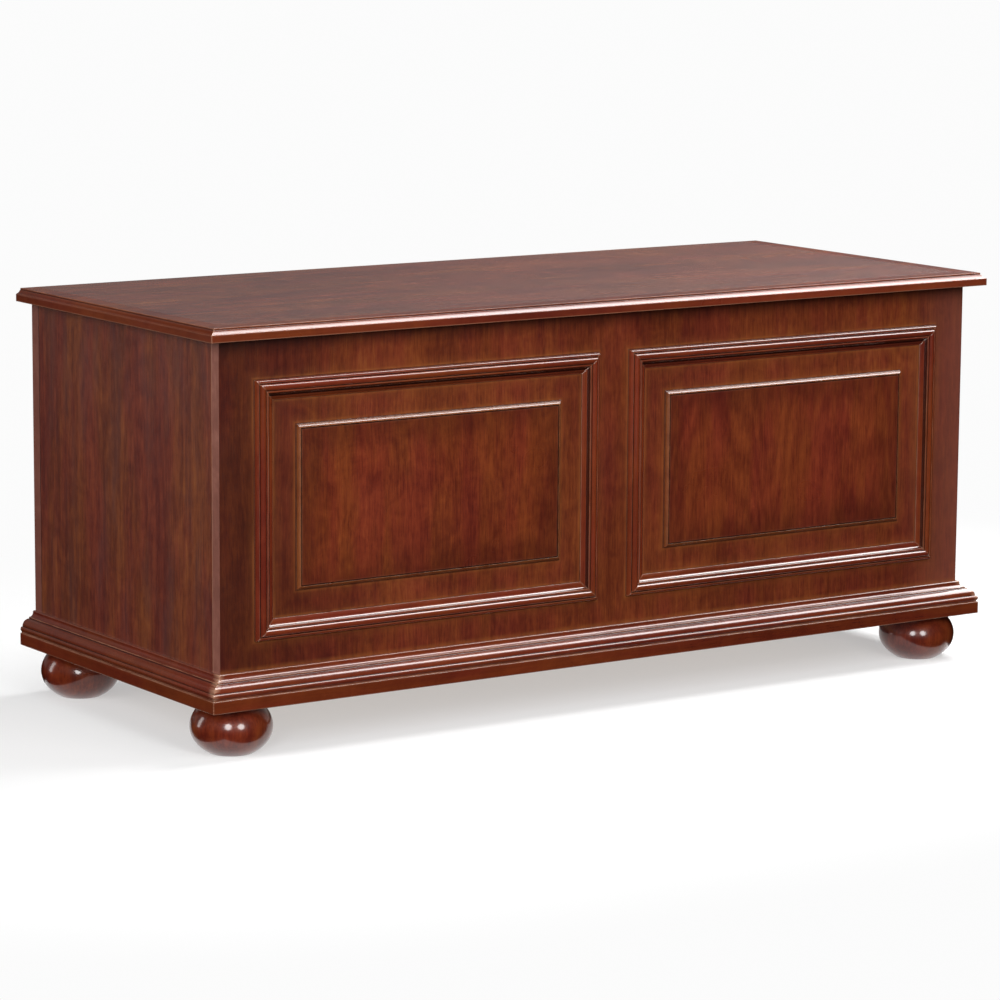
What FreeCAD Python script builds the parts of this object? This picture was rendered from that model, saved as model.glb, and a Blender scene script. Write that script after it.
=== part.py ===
import FreeCAD, Part
import Sketcher
import math
import os
import re

# Wooden blanket chest: a board case on a mitred base frame with four bun feet, two applied
# picture-frame mouldings with raised fields on the front, and a hinged lid held by two slotted stays.
# Millimetres. X runs along the front, the front faces -Y, Z is up; the origin is at floor level in
# the middle of the plan, hinge barrels included.

SIZES = {
    # lid
    "lid_length": 1220,
    "lid_depth": 508,
    "lid_thick": 17,
    "overhang": 23,
    "lid_edge_wide": 30,
    "lid_setback": 6.5,
    "lid_face": 8.9,
    "lid_round": 1.3,
    "lid_round_radius": 1.8,
    "lid_ogee_radius": 7,
    "lid_step": 2.5,
    "lid_nib": 0.8,
    "lid_nib_drop": 0.2,
    # case
    "board": 18,
    "case_high": 440,
    "panel_thick": 12,
    "panel_tongue": 6,
    "post_leg": 20,
    "post_short": 15,
    # base
    "rail_thick": 16,
    "rail_wide": 92,
    "mould_high": 28,
    "mould_reach": 22.8,
    "nose_back": 1.6,
    "nose_in": 1.4,
    "nose_foot": 1.4,
    "nose_low": 2,
    "nose_top": 7.8,
    "nose_radius": 3.7,
    "ovolo_out": 3,
    "ovolo_foot": 8.2,
    "ovolo_low": 9.2,
    "ovolo_in": 12.4,
    "ovolo_top": 17.8,
    "ovolo_radius": 9.2,
    "fillet_in": 12.8,
    "fillet_low": 18.1,
    "cove_out": 13.4,
    "cove_drop": 8.1,
    "cove_in": 18.6,
    "cove_end": 2.9,
    "cove_radius": 5.6,
    "bead_out": 18.6,
    "bead_drop": 1.8,
    "bead_in": 20.2,
    "bead_radius": 1.9,
    "block_side": 90,
    "bearer_wide": 40,
    # feet
    "foot_high": 64,
    "foot_radius": 52,
    "foot_half": 39.5,
    "foot_middle": 33.5,
    "foot_inset_side": 60,
    "foot_inset_front": 60,
    "foot_inset_back": 55,
    # front frames and fields
    "frame_wide": 514,
    "frame_tall": 324,
    "frame_gap": 48,
    "frame_drop": 52,
    "strip_wide": 26,
    "strip_proud": 9.6,
    "toe_high": 0.9,
    "toe_in": 1.2,
    "toe_top": 1.5,
    "toe_radius": 9,
    "swell_in": 5.4,
    "swell_drop": 6.8,
    "swell_radius": 6,
    "shelf_out": 9.2,
    "shelf_in": 11.6,
    "shelf_drop": 2.7,
    "groove_out": 11.9,
    "groove_in": 12.5,
    "groove_drop": 3.3,
    "crest_in": 12.6,
    "crest_in_drop": 2.4,
    "crest_radius": 4.4,
    "crest_out": 5.6,
    "crest_out_drop": 2.6,
    "rim_quirk_in": 5.2,
    "rim_quirk_out": 4.3,
    "rim_quirk_drop": 4,
    "rim_in": 3.6,
    "rim_in_drop": 3.2,
    "rim_drop": 3.4,
    "rim_radius": 2,
    "field_side": 59,
    "field_end": 58,
    "field_proud": 5,
    "field_lip": 0.9,
    "field_slope": 3.8,
    "quirk_wide": 1.6,
    # hinges
    "hinge_long": 70,
    "hinge_spread": 430,
    "leaf_wide": 16,
    "leaf_thick": 1.6,
    "barrel_radius": 3,
    "barrel_gap": 0.4,
    "knuckle_slack": 0.2,
    "pin_radius": 1.5,
    "fit": 0.05,
    # lid stays
    "stay_reach": 170,
    "stud_back": 135,
    "pivot_drop": 12,
    "arm_inset": 6,
    "arm_thick": 3,
    "arm_half": 8,
    "slot_half": 4,
    "slot_open": 310,
    "slot_shut": 97,
    "stud_radius": 3.5,
    "slot_end": 12,
    "rivet_radius": 2.5,
    "rivet_head_wider": 2.5,
    "rivet_head_thick": 2,
    "rivet_tail_wider": 1.5,
    "rivet_tail_thick": 1.2,
    "arm_gap": 0.3,
    "bracket_thick": 2.5,
    "bracket_wide": 24,
    "bracket_reach": 26,
    "bracket_gap": 0.4,
    "bracket_screw_in": 14,
    "bracket_screw_near": 4,
    "bracket_screw_far": 20,
    "bracket_head_thick": 1.4,
    "stud_tail": 10,
    "stud_flange_wider": 5,
    "stud_flange_thick": 2,
    "stud_shoulder_wider": 2.5,
    "stud_gap": 0.4,
    "stud_head_wider": 3.5,
    "stud_head_thick": 1.6,
    # fasteners
    "dowel_radius": 4,
    "dowel_long": 30,
    "dowel_deep": 12,
    "bolt_radius": 4,
    "bolt_in_foot": 35,
    "bolt_clear": 0.5,
    "bolt_short": 2,
    "nut_wall": 1.5,
    "nut_flange": 7,
    "base_screw_radius": 2.25,
    "base_screw_long": 40,
    "base_head_radius": 4.5,
    "base_head_thick": 3,
    "leaf_screw_radius": 1.5,
    "leaf_screw_long": 13,
    "leaf_head_radius": 2.8,
    "leaf_head_thick": 0.8,
}

# Levels and lines that follow from the driving sizes.
PLACES = {
    "barrel_out": "2 * barrel_radius + barrel_gap",
    "lid_front": "-(lid_depth + barrel_out) / 2",
    "back": "(lid_depth - barrel_out) / 2",
    "case_front": "lid_front + overhang",
    "case_length": "lid_length - 2 * overhang",
    "case_depth": "lid_depth - overhang",
    "case_low": "foot_high + rail_thick",
    "seam": "case_low + case_high",
    "inner_length": "case_length - 2 * board",
    "inner_depth": "case_depth - 2 * board",
    "inner_front": "case_front + board",
    "inner_back": "back - board",
    "panel_low": "case_low + panel_thick",
    "hinge_y": "back + barrel_gap + barrel_radius",
    "foot_x": "lid_length / 2 - foot_inset_side",
    "foot_front": "lid_front + foot_inset_front",
    "foot_back": "back - foot_inset_back",
    "frame_top": "seam - frame_drop",
    "frame_low": "frame_top - frame_tall",
    "pivot_y": "hinge_y - sqrt(stay_reach * stay_reach - pivot_drop * pivot_drop)",
    "pivot_z": "seam - pivot_drop",
    "stud_y": "hinge_y - stud_back",
    "stud_z": "seam - sqrt(stay_reach * stay_reach - stud_back * stud_back)",
    "arm_x": "inner_length / 2 - arm_inset",
}

X = FreeCAD.Vector(1, 0, 0)
Y = FreeCAD.Vector(0, 1, 0)
Z = FreeCAD.Vector(0, 0, 1)
UPRIGHT = FreeCAD.Rotation()
SIDES = {"left": -1, "right": 1}
CORNERS = [("front", "left"), ("front", "right"), ("back", "left"), ("back", "right")]

doc = FreeCAD.newDocument("wooden_chest")
sheet = doc.addObject("Spreadsheet::Sheet", "dims")
subparts = []


def fill_sheet():
    """The driving sizes, one aliased cell each."""
    for row, (alias, size) in enumerate(SIZES.items(), 1):
        sheet.set(f"A{row}", alias)
        sheet.set(f"B{row}", str(size))
        sheet.setAlias(f"B{row}", alias)
    doc.recompute()


def formula(text):
    """An expression in which named sizes and places are written as the sheet's cells."""
    def cell(match):
        word = match.group()
        if word in PLACES:
            return f"({formula(PLACES[word])})"
        return f"dims.{word}" if word in SIZES else word
    return re.sub(r"[a-z_]+", cell, text)


def value(text):
    """The number that a formula gives."""
    return float(sheet.evalExpression(formula(text)))


def turned(along, across, up):
    """The turn that takes local X, Y and Z to these directions."""
    return FreeCAD.Rotation(along, across, up, "XYZ")


def place(thing, at, turn=UPRIGHT):
    """Turn an object and bind its position to three formulas."""
    thing.Placement = FreeCAD.Placement(FreeCAD.Vector(), turn)
    for axis, text in zip("xyz", at):
        thing.setExpression(f".Placement.Base.{axis}", formula(text))


def keep(thing, label):
    """Name a finished sub-part."""
    thing.Label = label
    subparts.append(thing)
    return thing


# ---------------------------------------------------------------- sketches and features

def new_body(label, at, turn=UPRIGHT):
    """An empty body that is one sub-part."""
    body = doc.addObject("PartDesign::Body", label)
    place(body, at, turn)
    return keep(body, label)


def new_sketch(body, role, raised="0"):
    """A sketch on one of the body's origin planes, lifted along the plane's normal."""
    plane = next(item for item in body.Origin.OriginFeatures if item.Role == role)
    sketch = body.newObject("Sketcher::SketchObject", f"{body.Name}_sketch")
    sketch.AttachmentSupport = [(plane, "")]
    sketch.MapMode = "FlatFace"
    sketch.setExpression(".AttachmentOffset.Base.z", formula(raised))
    return sketch


def pin_point(sketch, curve, end, texts):
    """Hold a point of a curve at two formulas, measured from the sketch's origin."""
    for kind, axis, text in (("DistanceX", -2, texts[0]), ("DistanceY", -1, texts[1])):
        size = value(text)
        if abs(size) < 1e-9:
            sketch.addConstraint(Sketcher.Constraint("PointOnObject", curve, end, axis))
            continue
        index = sketch.addConstraint(Sketcher.Constraint(kind, -1, 1, curve, end, size))
        sketch.setExpression(f"Constraints[{index}]", formula(text))


def run_between(start, stop, bend):
    """A straight run, or an arc whose radius is the bend: over 0 bulges left, under 0 right."""
    if not bend:
        return Part.LineSegment(start, stop)
    chord = stop - start
    half = chord.Length / 2
    left = FreeCAD.Vector(-chord.y, chord.x, 0).normalize()
    radius = abs(bend)
    rise = radius - math.sqrt(max(radius * radius - half * half, 0))
    middle = (start + stop) * 0.5 + left * math.copysign(rise, bend)
    return Part.Arc(start, middle, stop)


def outline(sketch, corners):
    """A closed outline. A corner is (x, y), or (x, y, bend) where the run after it is an arc."""
    points = [FreeCAD.Vector(value(corner[0]), value(corner[1]), 0) for corner in corners]
    ends = []
    for index, corner in enumerate(corners):
        start = points[index]
        stop = points[(index + 1) % len(corners)]
        bend = value(corner[2]) if len(corner) > 2 else 0
        curve = sketch.addGeometry(run_between(start, stop, bend))
        swapped = (sketch.getPoint(curve, 1) - start).Length > 1e-6
        ends.append((curve, 2 if swapped else 1, 1 if swapped else 2))
        if bend:
            size = sketch.addConstraint(Sketcher.Constraint("Radius", curve, abs(bend)))
            sketch.setExpression(f"Constraints[{size}]", formula(f"abs({corner[2]})"))
    for index, (curve, first, last) in enumerate(ends):
        follower, lead, _ = ends[(index + 1) % len(ends)]
        sketch.addConstraint(Sketcher.Constraint("Coincident", curve, last, follower, lead))
        pin_point(sketch, curve, first, corners[index])


def rectangle(sketch, x, y, wide, tall):
    """A rectangle from its lower left corner."""
    right = f"{x} + {wide}"
    top = f"{y} + {tall}"
    outline(sketch, [(x, y), (right, y), (right, top), (x, top)])


def circle(sketch, x, y, radius):
    """A circle about a point."""
    centre = FreeCAD.Vector(value(x), value(y), 0)
    curve = sketch.addGeometry(Part.Circle(centre, Z, value(radius)))
    size = sketch.addConstraint(Sketcher.Constraint("Radius", curve, value(radius)))
    sketch.setExpression(f"Constraints[{size}]", formula(radius))
    pin_point(sketch, curve, 3, (x, y))


def pad(body, sketch, length):
    """Material along the sketch's normal."""
    feature = body.newObject("PartDesign::Pad", f"{body.Name}_pad")
    feature.Profile = sketch
    feature.setExpression("Length", formula(length))
    return feature


def pocket(body, sketch, depth, forward=True):
    """A cut along the sketch's normal, or against it."""
    feature = body.newObject("PartDesign::Pocket", f"{body.Name}_pocket")
    feature.Profile = sketch
    feature.Reversed = forward
    feature.setExpression("Length", formula(depth))
    return feature


def box_body(label, at, size):
    """A board with square edges."""
    body = new_body(label, at)
    sketch = new_sketch(body, "XY_Plane")
    rectangle(sketch, "0", "0", size[0], size[1])
    pad(body, sketch, size[2])
    return body


# ---------------------------------------------------------------- groups of equal pieces

def cylinder(radius, height, at, turn=UPRIGHT):
    """A plain cylinder."""
    thing = doc.addObject("Part::Cylinder", "cylinder")
    thing.setExpression("Radius", formula(radius))
    thing.setExpression("Height", formula(height))
    place(thing, at, turn)
    return thing


def joined(things):
    """Several solids fused into one."""
    fused = doc.addObject("Part::MultiFuse", "joined")
    fused.Shapes = things
    return fused


def without(solid, tool):
    """One solid with another cut out of it."""
    rest = doc.addObject("Part::Cut", "rest")
    rest.Base = solid
    rest.Tool = tool
    return rest


def group(label, things):
    """Equal separate solids that share one node."""
    compound = doc.addObject("Part::Compound", label)
    compound.Links = things
    return keep(compound, label)


def stepped_pin(at, up, steps):
    """Cylinders one after another along Z, upwards or downwards: (radius, length) of each."""
    parts = []
    level = at[2]
    for radius, length in steps:
        low = level if up else f"{level} - ({length})"
        parts.append(cylinder(radius, length, (at[0], at[1], low)))
        level = f"{level} + ({length})" if up else low
    return joined(parts)


# ---------------------------------------------------------------- case

def dowel_levels():
    """Heights of the corner dowels above the bottom of the case boards."""
    return [f"case_high * {share}" for share in (0.1, 0.36, 0.64, 0.9)]


def long_board(label, at, inner_face):
    """Front or back board: a groove for the bottom panel and dowel holes in its inner face."""
    body = box_body(label, at, ("case_length", "board", "case_high"))
    inward = inner_face == "far"
    outer = "-board" if inward else "0"
    groove = new_sketch(body, "XZ_Plane", outer)
    rectangle(groove, "board - panel_tongue", "panel_thick",
              "inner_length + 2 * panel_tongue", "panel_thick")
    pocket(body, groove, "panel_tongue", inward)
    holes = new_sketch(body, "XZ_Plane", outer)
    for level in dowel_levels():
        circle(holes, "board / 2", level, "dowel_radius + fit")
        circle(holes, "case_length - board / 2", level, "dowel_radius + fit")
    pocket(body, holes, "dowel_deep", inward)
    return body


def side_board(label, x):
    """Side board between front and back: a through groove and dowel holes in both ends."""
    body = box_body(label, (x, "inner_front", "case_low"), ("board", "inner_depth", "case_high"))
    groove = new_sketch(body, "XZ_Plane")
    start = "board - panel_tongue" if label.startswith("left") else "0"
    rectangle(groove, start, "panel_thick", "panel_tongue", "panel_thick")
    pocket(body, groove, "inner_depth", False)
    for raised, forward in (("0", False), ("-inner_depth", True)):
        holes = new_sketch(body, "XZ_Plane", raised)
        for level in dowel_levels():
            circle(holes, "board / 2", level, "dowel_radius + fit")
        pocket(body, holes, "dowel_long - dowel_deep", forward)
    stud_hole(body, label)
    return body


def stud_hole(body, label):
    """The hole in a side board's inner face for the stay stud's threaded tail."""
    inner = "board" if label.startswith("left") else "0"
    hole = new_sketch(body, "YZ_Plane", inner)
    circle(hole, "stud_y - inner_front", "stud_z - case_low", "rivet_radius")
    pocket(body, hole, "board - panel_tongue", label.startswith("right"))


def case_boards():
    """Front, back and side boards."""
    front = long_board("front_board", ("-case_length / 2", "case_front", "case_low"), "far")
    rear = long_board("back_board", ("-case_length / 2", "inner_back", "case_low"), "near")
    side_board("left_side", "-case_length / 2")
    side_board("right_side", "inner_length / 2")
    hinge_seats(rear)
    return front, rear


def bottom_panel():
    """The panel that lies in the grooves of all four boards."""
    box_body("bottom_panel",
             ("-inner_length / 2 - panel_tongue", "inner_front - panel_tongue", "panel_low"),
             ("inner_length + 2 * panel_tongue", "inner_depth + 2 * panel_tongue", "panel_thick"))


def bottom_bearer():
    """A batten across the middle, from base rail to base rail, under the bottom panel."""
    box_body("bottom_bearer", ("-bearer_wide / 2", "inner_front", "case_low"),
             ("bearer_wide", "inner_depth", "panel_thick"))


def corner_posts():
    """Three-sided glue blocks that stand in the inside corners on the bottom panel."""
    quarter = {("front", "left"): 0, ("front", "right"): 90,
               ("back", "right"): 180, ("back", "left"): 270}
    for row, side in CORNERS:
        turn = FreeCAD.Rotation(Z, quarter[row, side])
        x = f"{SIDES[side]} * inner_length / 2"
        level = "panel_low + panel_thick"
        body = new_body(f"corner_post_{row}_{side}", (x, f"inner_{row}", level), turn)
        sketch = new_sketch(body, "XY_Plane")
        outline(sketch, [("0", "0"), ("post_leg", "0"), ("0", "post_leg")])
        pad(body, sketch, f"seam - post_short - ({level})")


def case_dowels():
    """Wooden dowels from the front and back boards into the ends of the sides."""
    dowels = []
    forward = turned(X, Z, -1 * Y)
    for side in SIDES.values():
        for level in dowel_levels():
            x = f"{side} * (inner_length + board) / 2"
            z = f"case_low + {level}"
            front = "inner_front - dowel_deep + dowel_long"
            rear = "inner_back + dowel_deep"
            dowels.append(cylinder("dowel_radius", "dowel_long", (x, front, z), forward))
            dowels.append(cylinder("dowel_radius", "dowel_long", (x, rear, z), forward))
    group("case_dowels", dowels)


# ---------------------------------------------------------------- base

def foot_y(row):
    """Name of the line that a row of feet stands on."""
    return "foot_front" if row == "front" else "foot_back"


def base_screw_spots():
    """Places of the screws that go up through the base rails into the case boards."""
    spots = []
    for share in (-0.38, -0.19, 0, 0.19, 0.38):
        spots.append((f"{share} * lid_length", "case_front + board / 2", "front"))
        spots.append((f"{share} * lid_length", "back - board / 2", "back"))
    for side, sign in SIDES.items():
        for share in (-0.16, 0.16):
            x = f"{sign} * (case_length - board) / 2"
            spots.append((x, f"{share} * lid_depth", side))
    return spots


def rail(label, side, at, corners, bolts):
    """A flat base rail with through holes for the foot bolts and seats for its screws."""
    body = new_body(label, at)
    sketch = new_sketch(body, "XY_Plane")
    outline(sketch, corners)
    pad(body, sketch, "rail_thick")
    if bolts:
        holes = new_sketch(body, "XY_Plane")
        for x, y in bolts:
            circle(holes, f"({x}) - ({at[0]})", f"({y}) - ({at[1]})", "bolt_radius + bolt_clear")
        pocket(body, holes, "rail_thick")
    through = new_sketch(body, "XY_Plane")
    seats = new_sketch(body, "XY_Plane")
    for x, y, owner in base_screw_spots():
        if owner == side:
            spot = (f"({x}) - ({at[0]})", f"({y}) - ({at[1]})")
            circle(through, *spot, "base_screw_radius + fit")
            circle(seats, *spot, "base_head_radius + fit")
    pocket(body, through, "rail_thick")
    pocket(body, seats, "base_head_thick")


def base_rails():
    """Front rail mitred into the side rails; the back rail butts between them."""
    front = ("-lid_length / 2", "lid_front", "foot_high")
    rail("base_rail_front", "front", front,
         [("0", "0"), ("lid_length", "0"), ("lid_length - rail_wide", "rail_wide"),
          ("rail_wide", "rail_wide")],
         [(f"{sign} * foot_x", "foot_front") for sign in SIDES.values()])
    rail("base_rail_left", "left", front,
         [("0", "0"), ("rail_wide", "rail_wide"), ("rail_wide", "lid_depth"), ("0", "lid_depth")],
         [("-foot_x", "foot_front"), ("-foot_x", "foot_back")])
    right = ("lid_length / 2 - rail_wide", "lid_front", "foot_high")
    rail("base_rail_right", "right", right,
         [("rail_wide", "0"), ("rail_wide", "lid_depth"), ("0", "lid_depth"), ("0", "rail_wide")],
         [("foot_x", "foot_front"), ("foot_x", "foot_back")])
    between = "lid_length - 2 * rail_wide"
    rail("base_rail_back", "back", ("-lid_length / 2 + rail_wide", "back - rail_wide", "foot_high"),
         [("0", "0"), (between, "0"), (between, "rail_wide"), ("0", "rail_wide")], [])


def base_screw_holes(front, rear, sides):
    """Pilot holes in the bottom edges of the case boards."""
    for owner, body in (("front", front), ("back", rear), *sides.items()):
        start = board_corner(owner)
        holes = new_sketch(body, "XY_Plane")
        for x, y, side in base_screw_spots():
            if side == owner:
                spot = (f"({x}) - ({start[0]})", f"({y}) - ({start[1]})")
                circle(holes, *spot, "base_screw_radius + fit")
        pocket(body, holes, "base_head_thick + base_screw_long - rail_thick")


def board_corner(owner):
    """The lower left corner in plan of a case board."""
    x = "inner_length / 2" if owner == "right" else "-case_length / 2"
    y = {"front": "case_front", "back": "inner_back"}.get(owner, "inner_front")
    return x, y


def base_screws():
    """Pan-head screws set into the underside of the base rails."""
    steps = [("base_head_radius", "base_head_thick"), ("base_screw_radius", "base_screw_long")]
    group("base_screws", [stepped_pin((x, y, "foot_high"), True, steps)
                          for x, y, _ in base_screw_spots()])


def base_profile():
    """Section of the base moulding, from the wall outwards: bead, cove, ovolo and half-round nose."""
    return [("0", "0"),
            ("mould_reach - nose_back", "0"),
            ("mould_reach - nose_back", "nose_foot"),
            ("mould_reach - nose_in", "nose_low", "-nose_radius"),
            ("mould_reach - nose_in", "nose_top"),
            ("mould_reach - ovolo_out", "ovolo_foot"),
            ("mould_reach - ovolo_out", "ovolo_low", "-ovolo_radius"),
            ("mould_reach - ovolo_in", "ovolo_top"),
            ("mould_reach - fillet_in", "fillet_low"),
            ("mould_reach - fillet_in", "mould_high - cove_drop"),
            ("mould_reach - cove_out", "mould_high - cove_drop", "cove_radius"),
            ("mould_reach - cove_in", "mould_high - cove_end"),
            ("mould_reach - bead_out", "mould_high - bead_drop", "-bead_radius"),
            ("mould_reach - bead_in", "mould_high"),
            ("0", "mould_high")]


def base_moulding(label, at, turn, length, mitres):
    """A length of base moulding, cut at 45 degrees where it meets its neighbour."""
    body = new_body(label, at, turn)
    section = new_sketch(body, "YZ_Plane")
    outline(section, base_profile())
    pad(body, section, length)
    cuts = new_sketch(body, "XY_Plane")
    reach = "mould_reach"
    if "start" in mitres:
        outline(cuts, [("0", "0"), (reach, "0"), ("0", reach)])
    if "end" in mitres:
        outline(cuts, [(length, "0"), (length, reach), (f"{length} - {reach}", "0")])
    pocket(body, cuts, "mould_high")


def base_mouldings():
    """Mouldings on the base rails against the front and the two sides."""
    wide = "case_length + 2 * mould_reach"
    deep = "case_depth + mould_reach"
    half = "case_length / 2"
    front = "case_front - mould_reach"
    base_moulding("base_moulding_front", (f"{half} + mould_reach", "case_front", "case_low"),
                  turned(-1 * X, -1 * Y, Z), wide, ("start", "end"))
    base_moulding("base_moulding_left", (f"-{half}", front, "case_low"),
                  turned(Y, -1 * X, Z), deep, ("start",))
    base_moulding("base_moulding_right", (half, "back", "case_low"),
                  turned(-1 * Y, X, Z), deep, ("end",))


def foot_blocks():
    """Blocks inside the base corners, glued over the rail joints, that take the foot bolts."""
    for row, side in CORNERS:
        x = "-inner_length / 2" if side == "left" else "inner_length / 2 - block_side"
        y = "inner_front" if row == "front" else "inner_back - block_side"
        body = box_body(f"foot_block_{row}_{side}", (x, y, "case_low"),
                        ("block_side", "block_side", "panel_thick"))
        spot = (f"{SIDES[side]} * foot_x - ({x})", f"{foot_y(row)} - ({y})")
        bore = new_sketch(body, "XY_Plane")
        circle(bore, *spot, "bolt_radius + nut_wall + fit")
        pocket(body, bore, "panel_thick")
        seat = new_sketch(body, "XY_Plane", "panel_thick")
        circle(seat, *spot, "bolt_radius + nut_flange + fit")
        pocket(body, seat, "leaf_thick", False)


def foot_tee_nuts():
    """Flanged nuts let into the tops of the foot blocks."""
    nuts = []
    for row, side in CORNERS:
        spot = (f"{SIDES[side]} * foot_x", foot_y(row), "panel_low")
        steps = [("bolt_radius + nut_flange", "leaf_thick"),
                 ("bolt_radius + nut_wall", "panel_thick - leaf_thick")]
        blank = stepped_pin(spot, False, steps)
        bore = cylinder("bolt_radius + fit", "panel_thick", (spot[0], spot[1], "case_low"))
        nuts.append(without(blank, bore))
    group("foot_tee_nuts", nuts)


def foot_studs():
    """Threaded studs from the feet up into the tee nuts."""
    length = "bolt_in_foot + rail_thick + panel_thick - bolt_short"
    group("foot_studs",
          [cylinder("bolt_radius", length,
                    (f"{SIDES[side]} * foot_x", foot_y(row), "foot_high - bolt_in_foot"))
           for row, side in CORNERS])


def feet():
    """Bun feet: squashed balls with flat tops and bases, bored for their studs."""
    for row, side in CORNERS:
        x = f"{SIDES[side]} * foot_x"
        ball = doc.addObject("Part::Ellipsoid", "ball")
        ball.setExpression("Radius1", formula("foot_half"))
        ball.setExpression("Radius2", formula("foot_radius"))
        ball.setExpression("Radius3", formula("foot_radius"))
        place(ball, (x, foot_y(row), "foot_middle"))
        bun = doc.addObject("Part::MultiCommon", "bun")
        bun.Shapes = [ball, cylinder("2 * foot_radius", "foot_high", (x, foot_y(row), "0"))]
        bore = cylinder("bolt_radius + fit", "foot_high",
                        (x, foot_y(row), "foot_high - bolt_in_foot"))
        keep(without(bun, bore), f"foot_{row}_{side}")


# ---------------------------------------------------------------- front frames and fields

def frame_profile():
    """Section of the frame strip from its outer edge inwards: bead, crest, fillet and ogee foot."""
    return [("0", "0"),
            ("strip_wide", "0"),
            ("strip_wide", "toe_high"),
            ("strip_wide - toe_in", "toe_top", "-toe_radius"),
            ("strip_wide - swell_in", "strip_proud - swell_drop", "swell_radius"),
            ("strip_wide - shelf_out", "strip_proud - shelf_drop"),
            ("strip_wide - shelf_in", "strip_proud - shelf_drop"),
            ("strip_wide - groove_out", "strip_proud - groove_drop"),
            ("strip_wide - groove_in", "strip_proud - groove_drop"),
            ("strip_wide - crest_in", "strip_proud - crest_in_drop", "-crest_radius"),
            ("crest_out", "strip_proud - crest_out_drop"),
            ("rim_quirk_in", "strip_proud - rim_quirk_drop"),
            ("rim_quirk_out", "strip_proud - rim_quirk_drop"),
            ("rim_in", "strip_proud - rim_in_drop", "-rim_radius"),
            ("0", "strip_proud - rim_drop")]


def frame_strip(label, at, turn, length):
    """One mitred strip of an applied frame."""
    body = new_body(label, at, turn)
    section = new_sketch(body, "YZ_Plane")
    outline(section, frame_profile())
    pad(body, section, length)
    cuts = new_sketch(body, "XY_Plane")
    wide = "strip_wide"
    outline(cuts, [("0", "0"), (wide, wide), ("0", wide)])
    outline(cuts, [(length, "0"), (length, wide), (f"{length} - {wide}", wide)])
    pocket(body, cuts, "strip_proud")


def front_frame(side):
    """The four strips of one frame on the front board."""
    left = "-frame_gap / 2 - frame_wide" if side == "left" else "frame_gap / 2"
    right = f"{left} + frame_wide"
    out = -1 * Y
    frame_strip(f"frame_{side}_top", (right, "case_front", "frame_top"),
                turned(-1 * X, -1 * Z, out), "frame_wide")
    frame_strip(f"frame_{side}_bottom", (left, "case_front", "frame_low"),
                turned(X, Z, out), "frame_wide")
    frame_strip(f"frame_{side}_outer" if side == "left" else f"frame_{side}_inner",
                (left, "case_front", "frame_top"), turned(-1 * Z, X, out), "frame_tall")
    frame_strip(f"frame_{side}_inner" if side == "left" else f"frame_{side}_outer",
                (right, "case_front", "frame_low"), turned(Z, -1 * X, out), "frame_tall")


def raised_field(side):
    """A raised field: thin lip, sloped border, a quirk all round and the flat field."""
    left = "-frame_gap / 2 - frame_wide" if side == "left" else "frame_gap / 2"
    wide = "frame_wide - 2 * field_side"
    tall = "frame_tall - 2 * field_end"
    body = new_body(f"field_{side}", (f"{left} + field_side", "case_front", "frame_low + field_end"),
                    turned(X, Z, -1 * Y))
    lip = new_sketch(body, "XY_Plane")
    rectangle(lip, "0", "0", wide, tall)
    pad(body, lip, "field_lip")
    slope = new_sketch(body, "XY_Plane", "field_lip")
    inset = "field_lip"
    rectangle(slope, inset, inset, f"{wide} - 2 * {inset}", f"{tall} - 2 * {inset}")
    raised = pad(body, slope, "field_proud - field_lip")
    raised.setExpression("TaperAngle", formula("-atan(field_slope / (field_proud - field_lip))"))
    quirk = new_sketch(body, "XY_Plane", "field_proud")
    outer = "field_lip + field_slope"
    inner = f"{outer} + quirk_wide"
    for step in (outer, inner):
        rectangle(quirk, step, step, f"{wide} - 2 * ({step})", f"{tall} - 2 * ({step})")
    pocket(body, quirk, "quirk_wide", False)


# ---------------------------------------------------------------- lid

def lid_profile():
    """Section of the lid edge from outside inwards: square edge, rounded ogee and a step to the top."""
    return [("0", "0"),
            ("lid_edge_wide", "0"),
            ("lid_edge_wide", "lid_thick"),
            ("lid_setback", "lid_thick"),
            ("lid_setback", "lid_thick - lid_step"),
            ("lid_setback - lid_nib", "lid_thick - lid_step - lid_nib_drop", "lid_ogee_radius"),
            ("lid_round", "lid_face + lid_round", "-lid_round_radius"),
            ("0", "lid_face")]


def lid_edge(label, at, turn, length, mitres):
    """An edge strip of the lid, mitred at the front corners."""
    body = new_body(label, at, turn)
    section = new_sketch(body, "YZ_Plane")
    outline(section, lid_profile())
    pad(body, section, length)
    cuts = new_sketch(body, "XY_Plane")
    wide = "lid_edge_wide"
    if "start" in mitres:
        outline(cuts, [("0", "0"), (wide, wide), ("0", wide)])
    if "end" in mitres:
        outline(cuts, [(length, "0"), (length, wide), (f"{length} - {wide}", wide)])
    pocket(body, cuts, "lid_thick")


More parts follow.
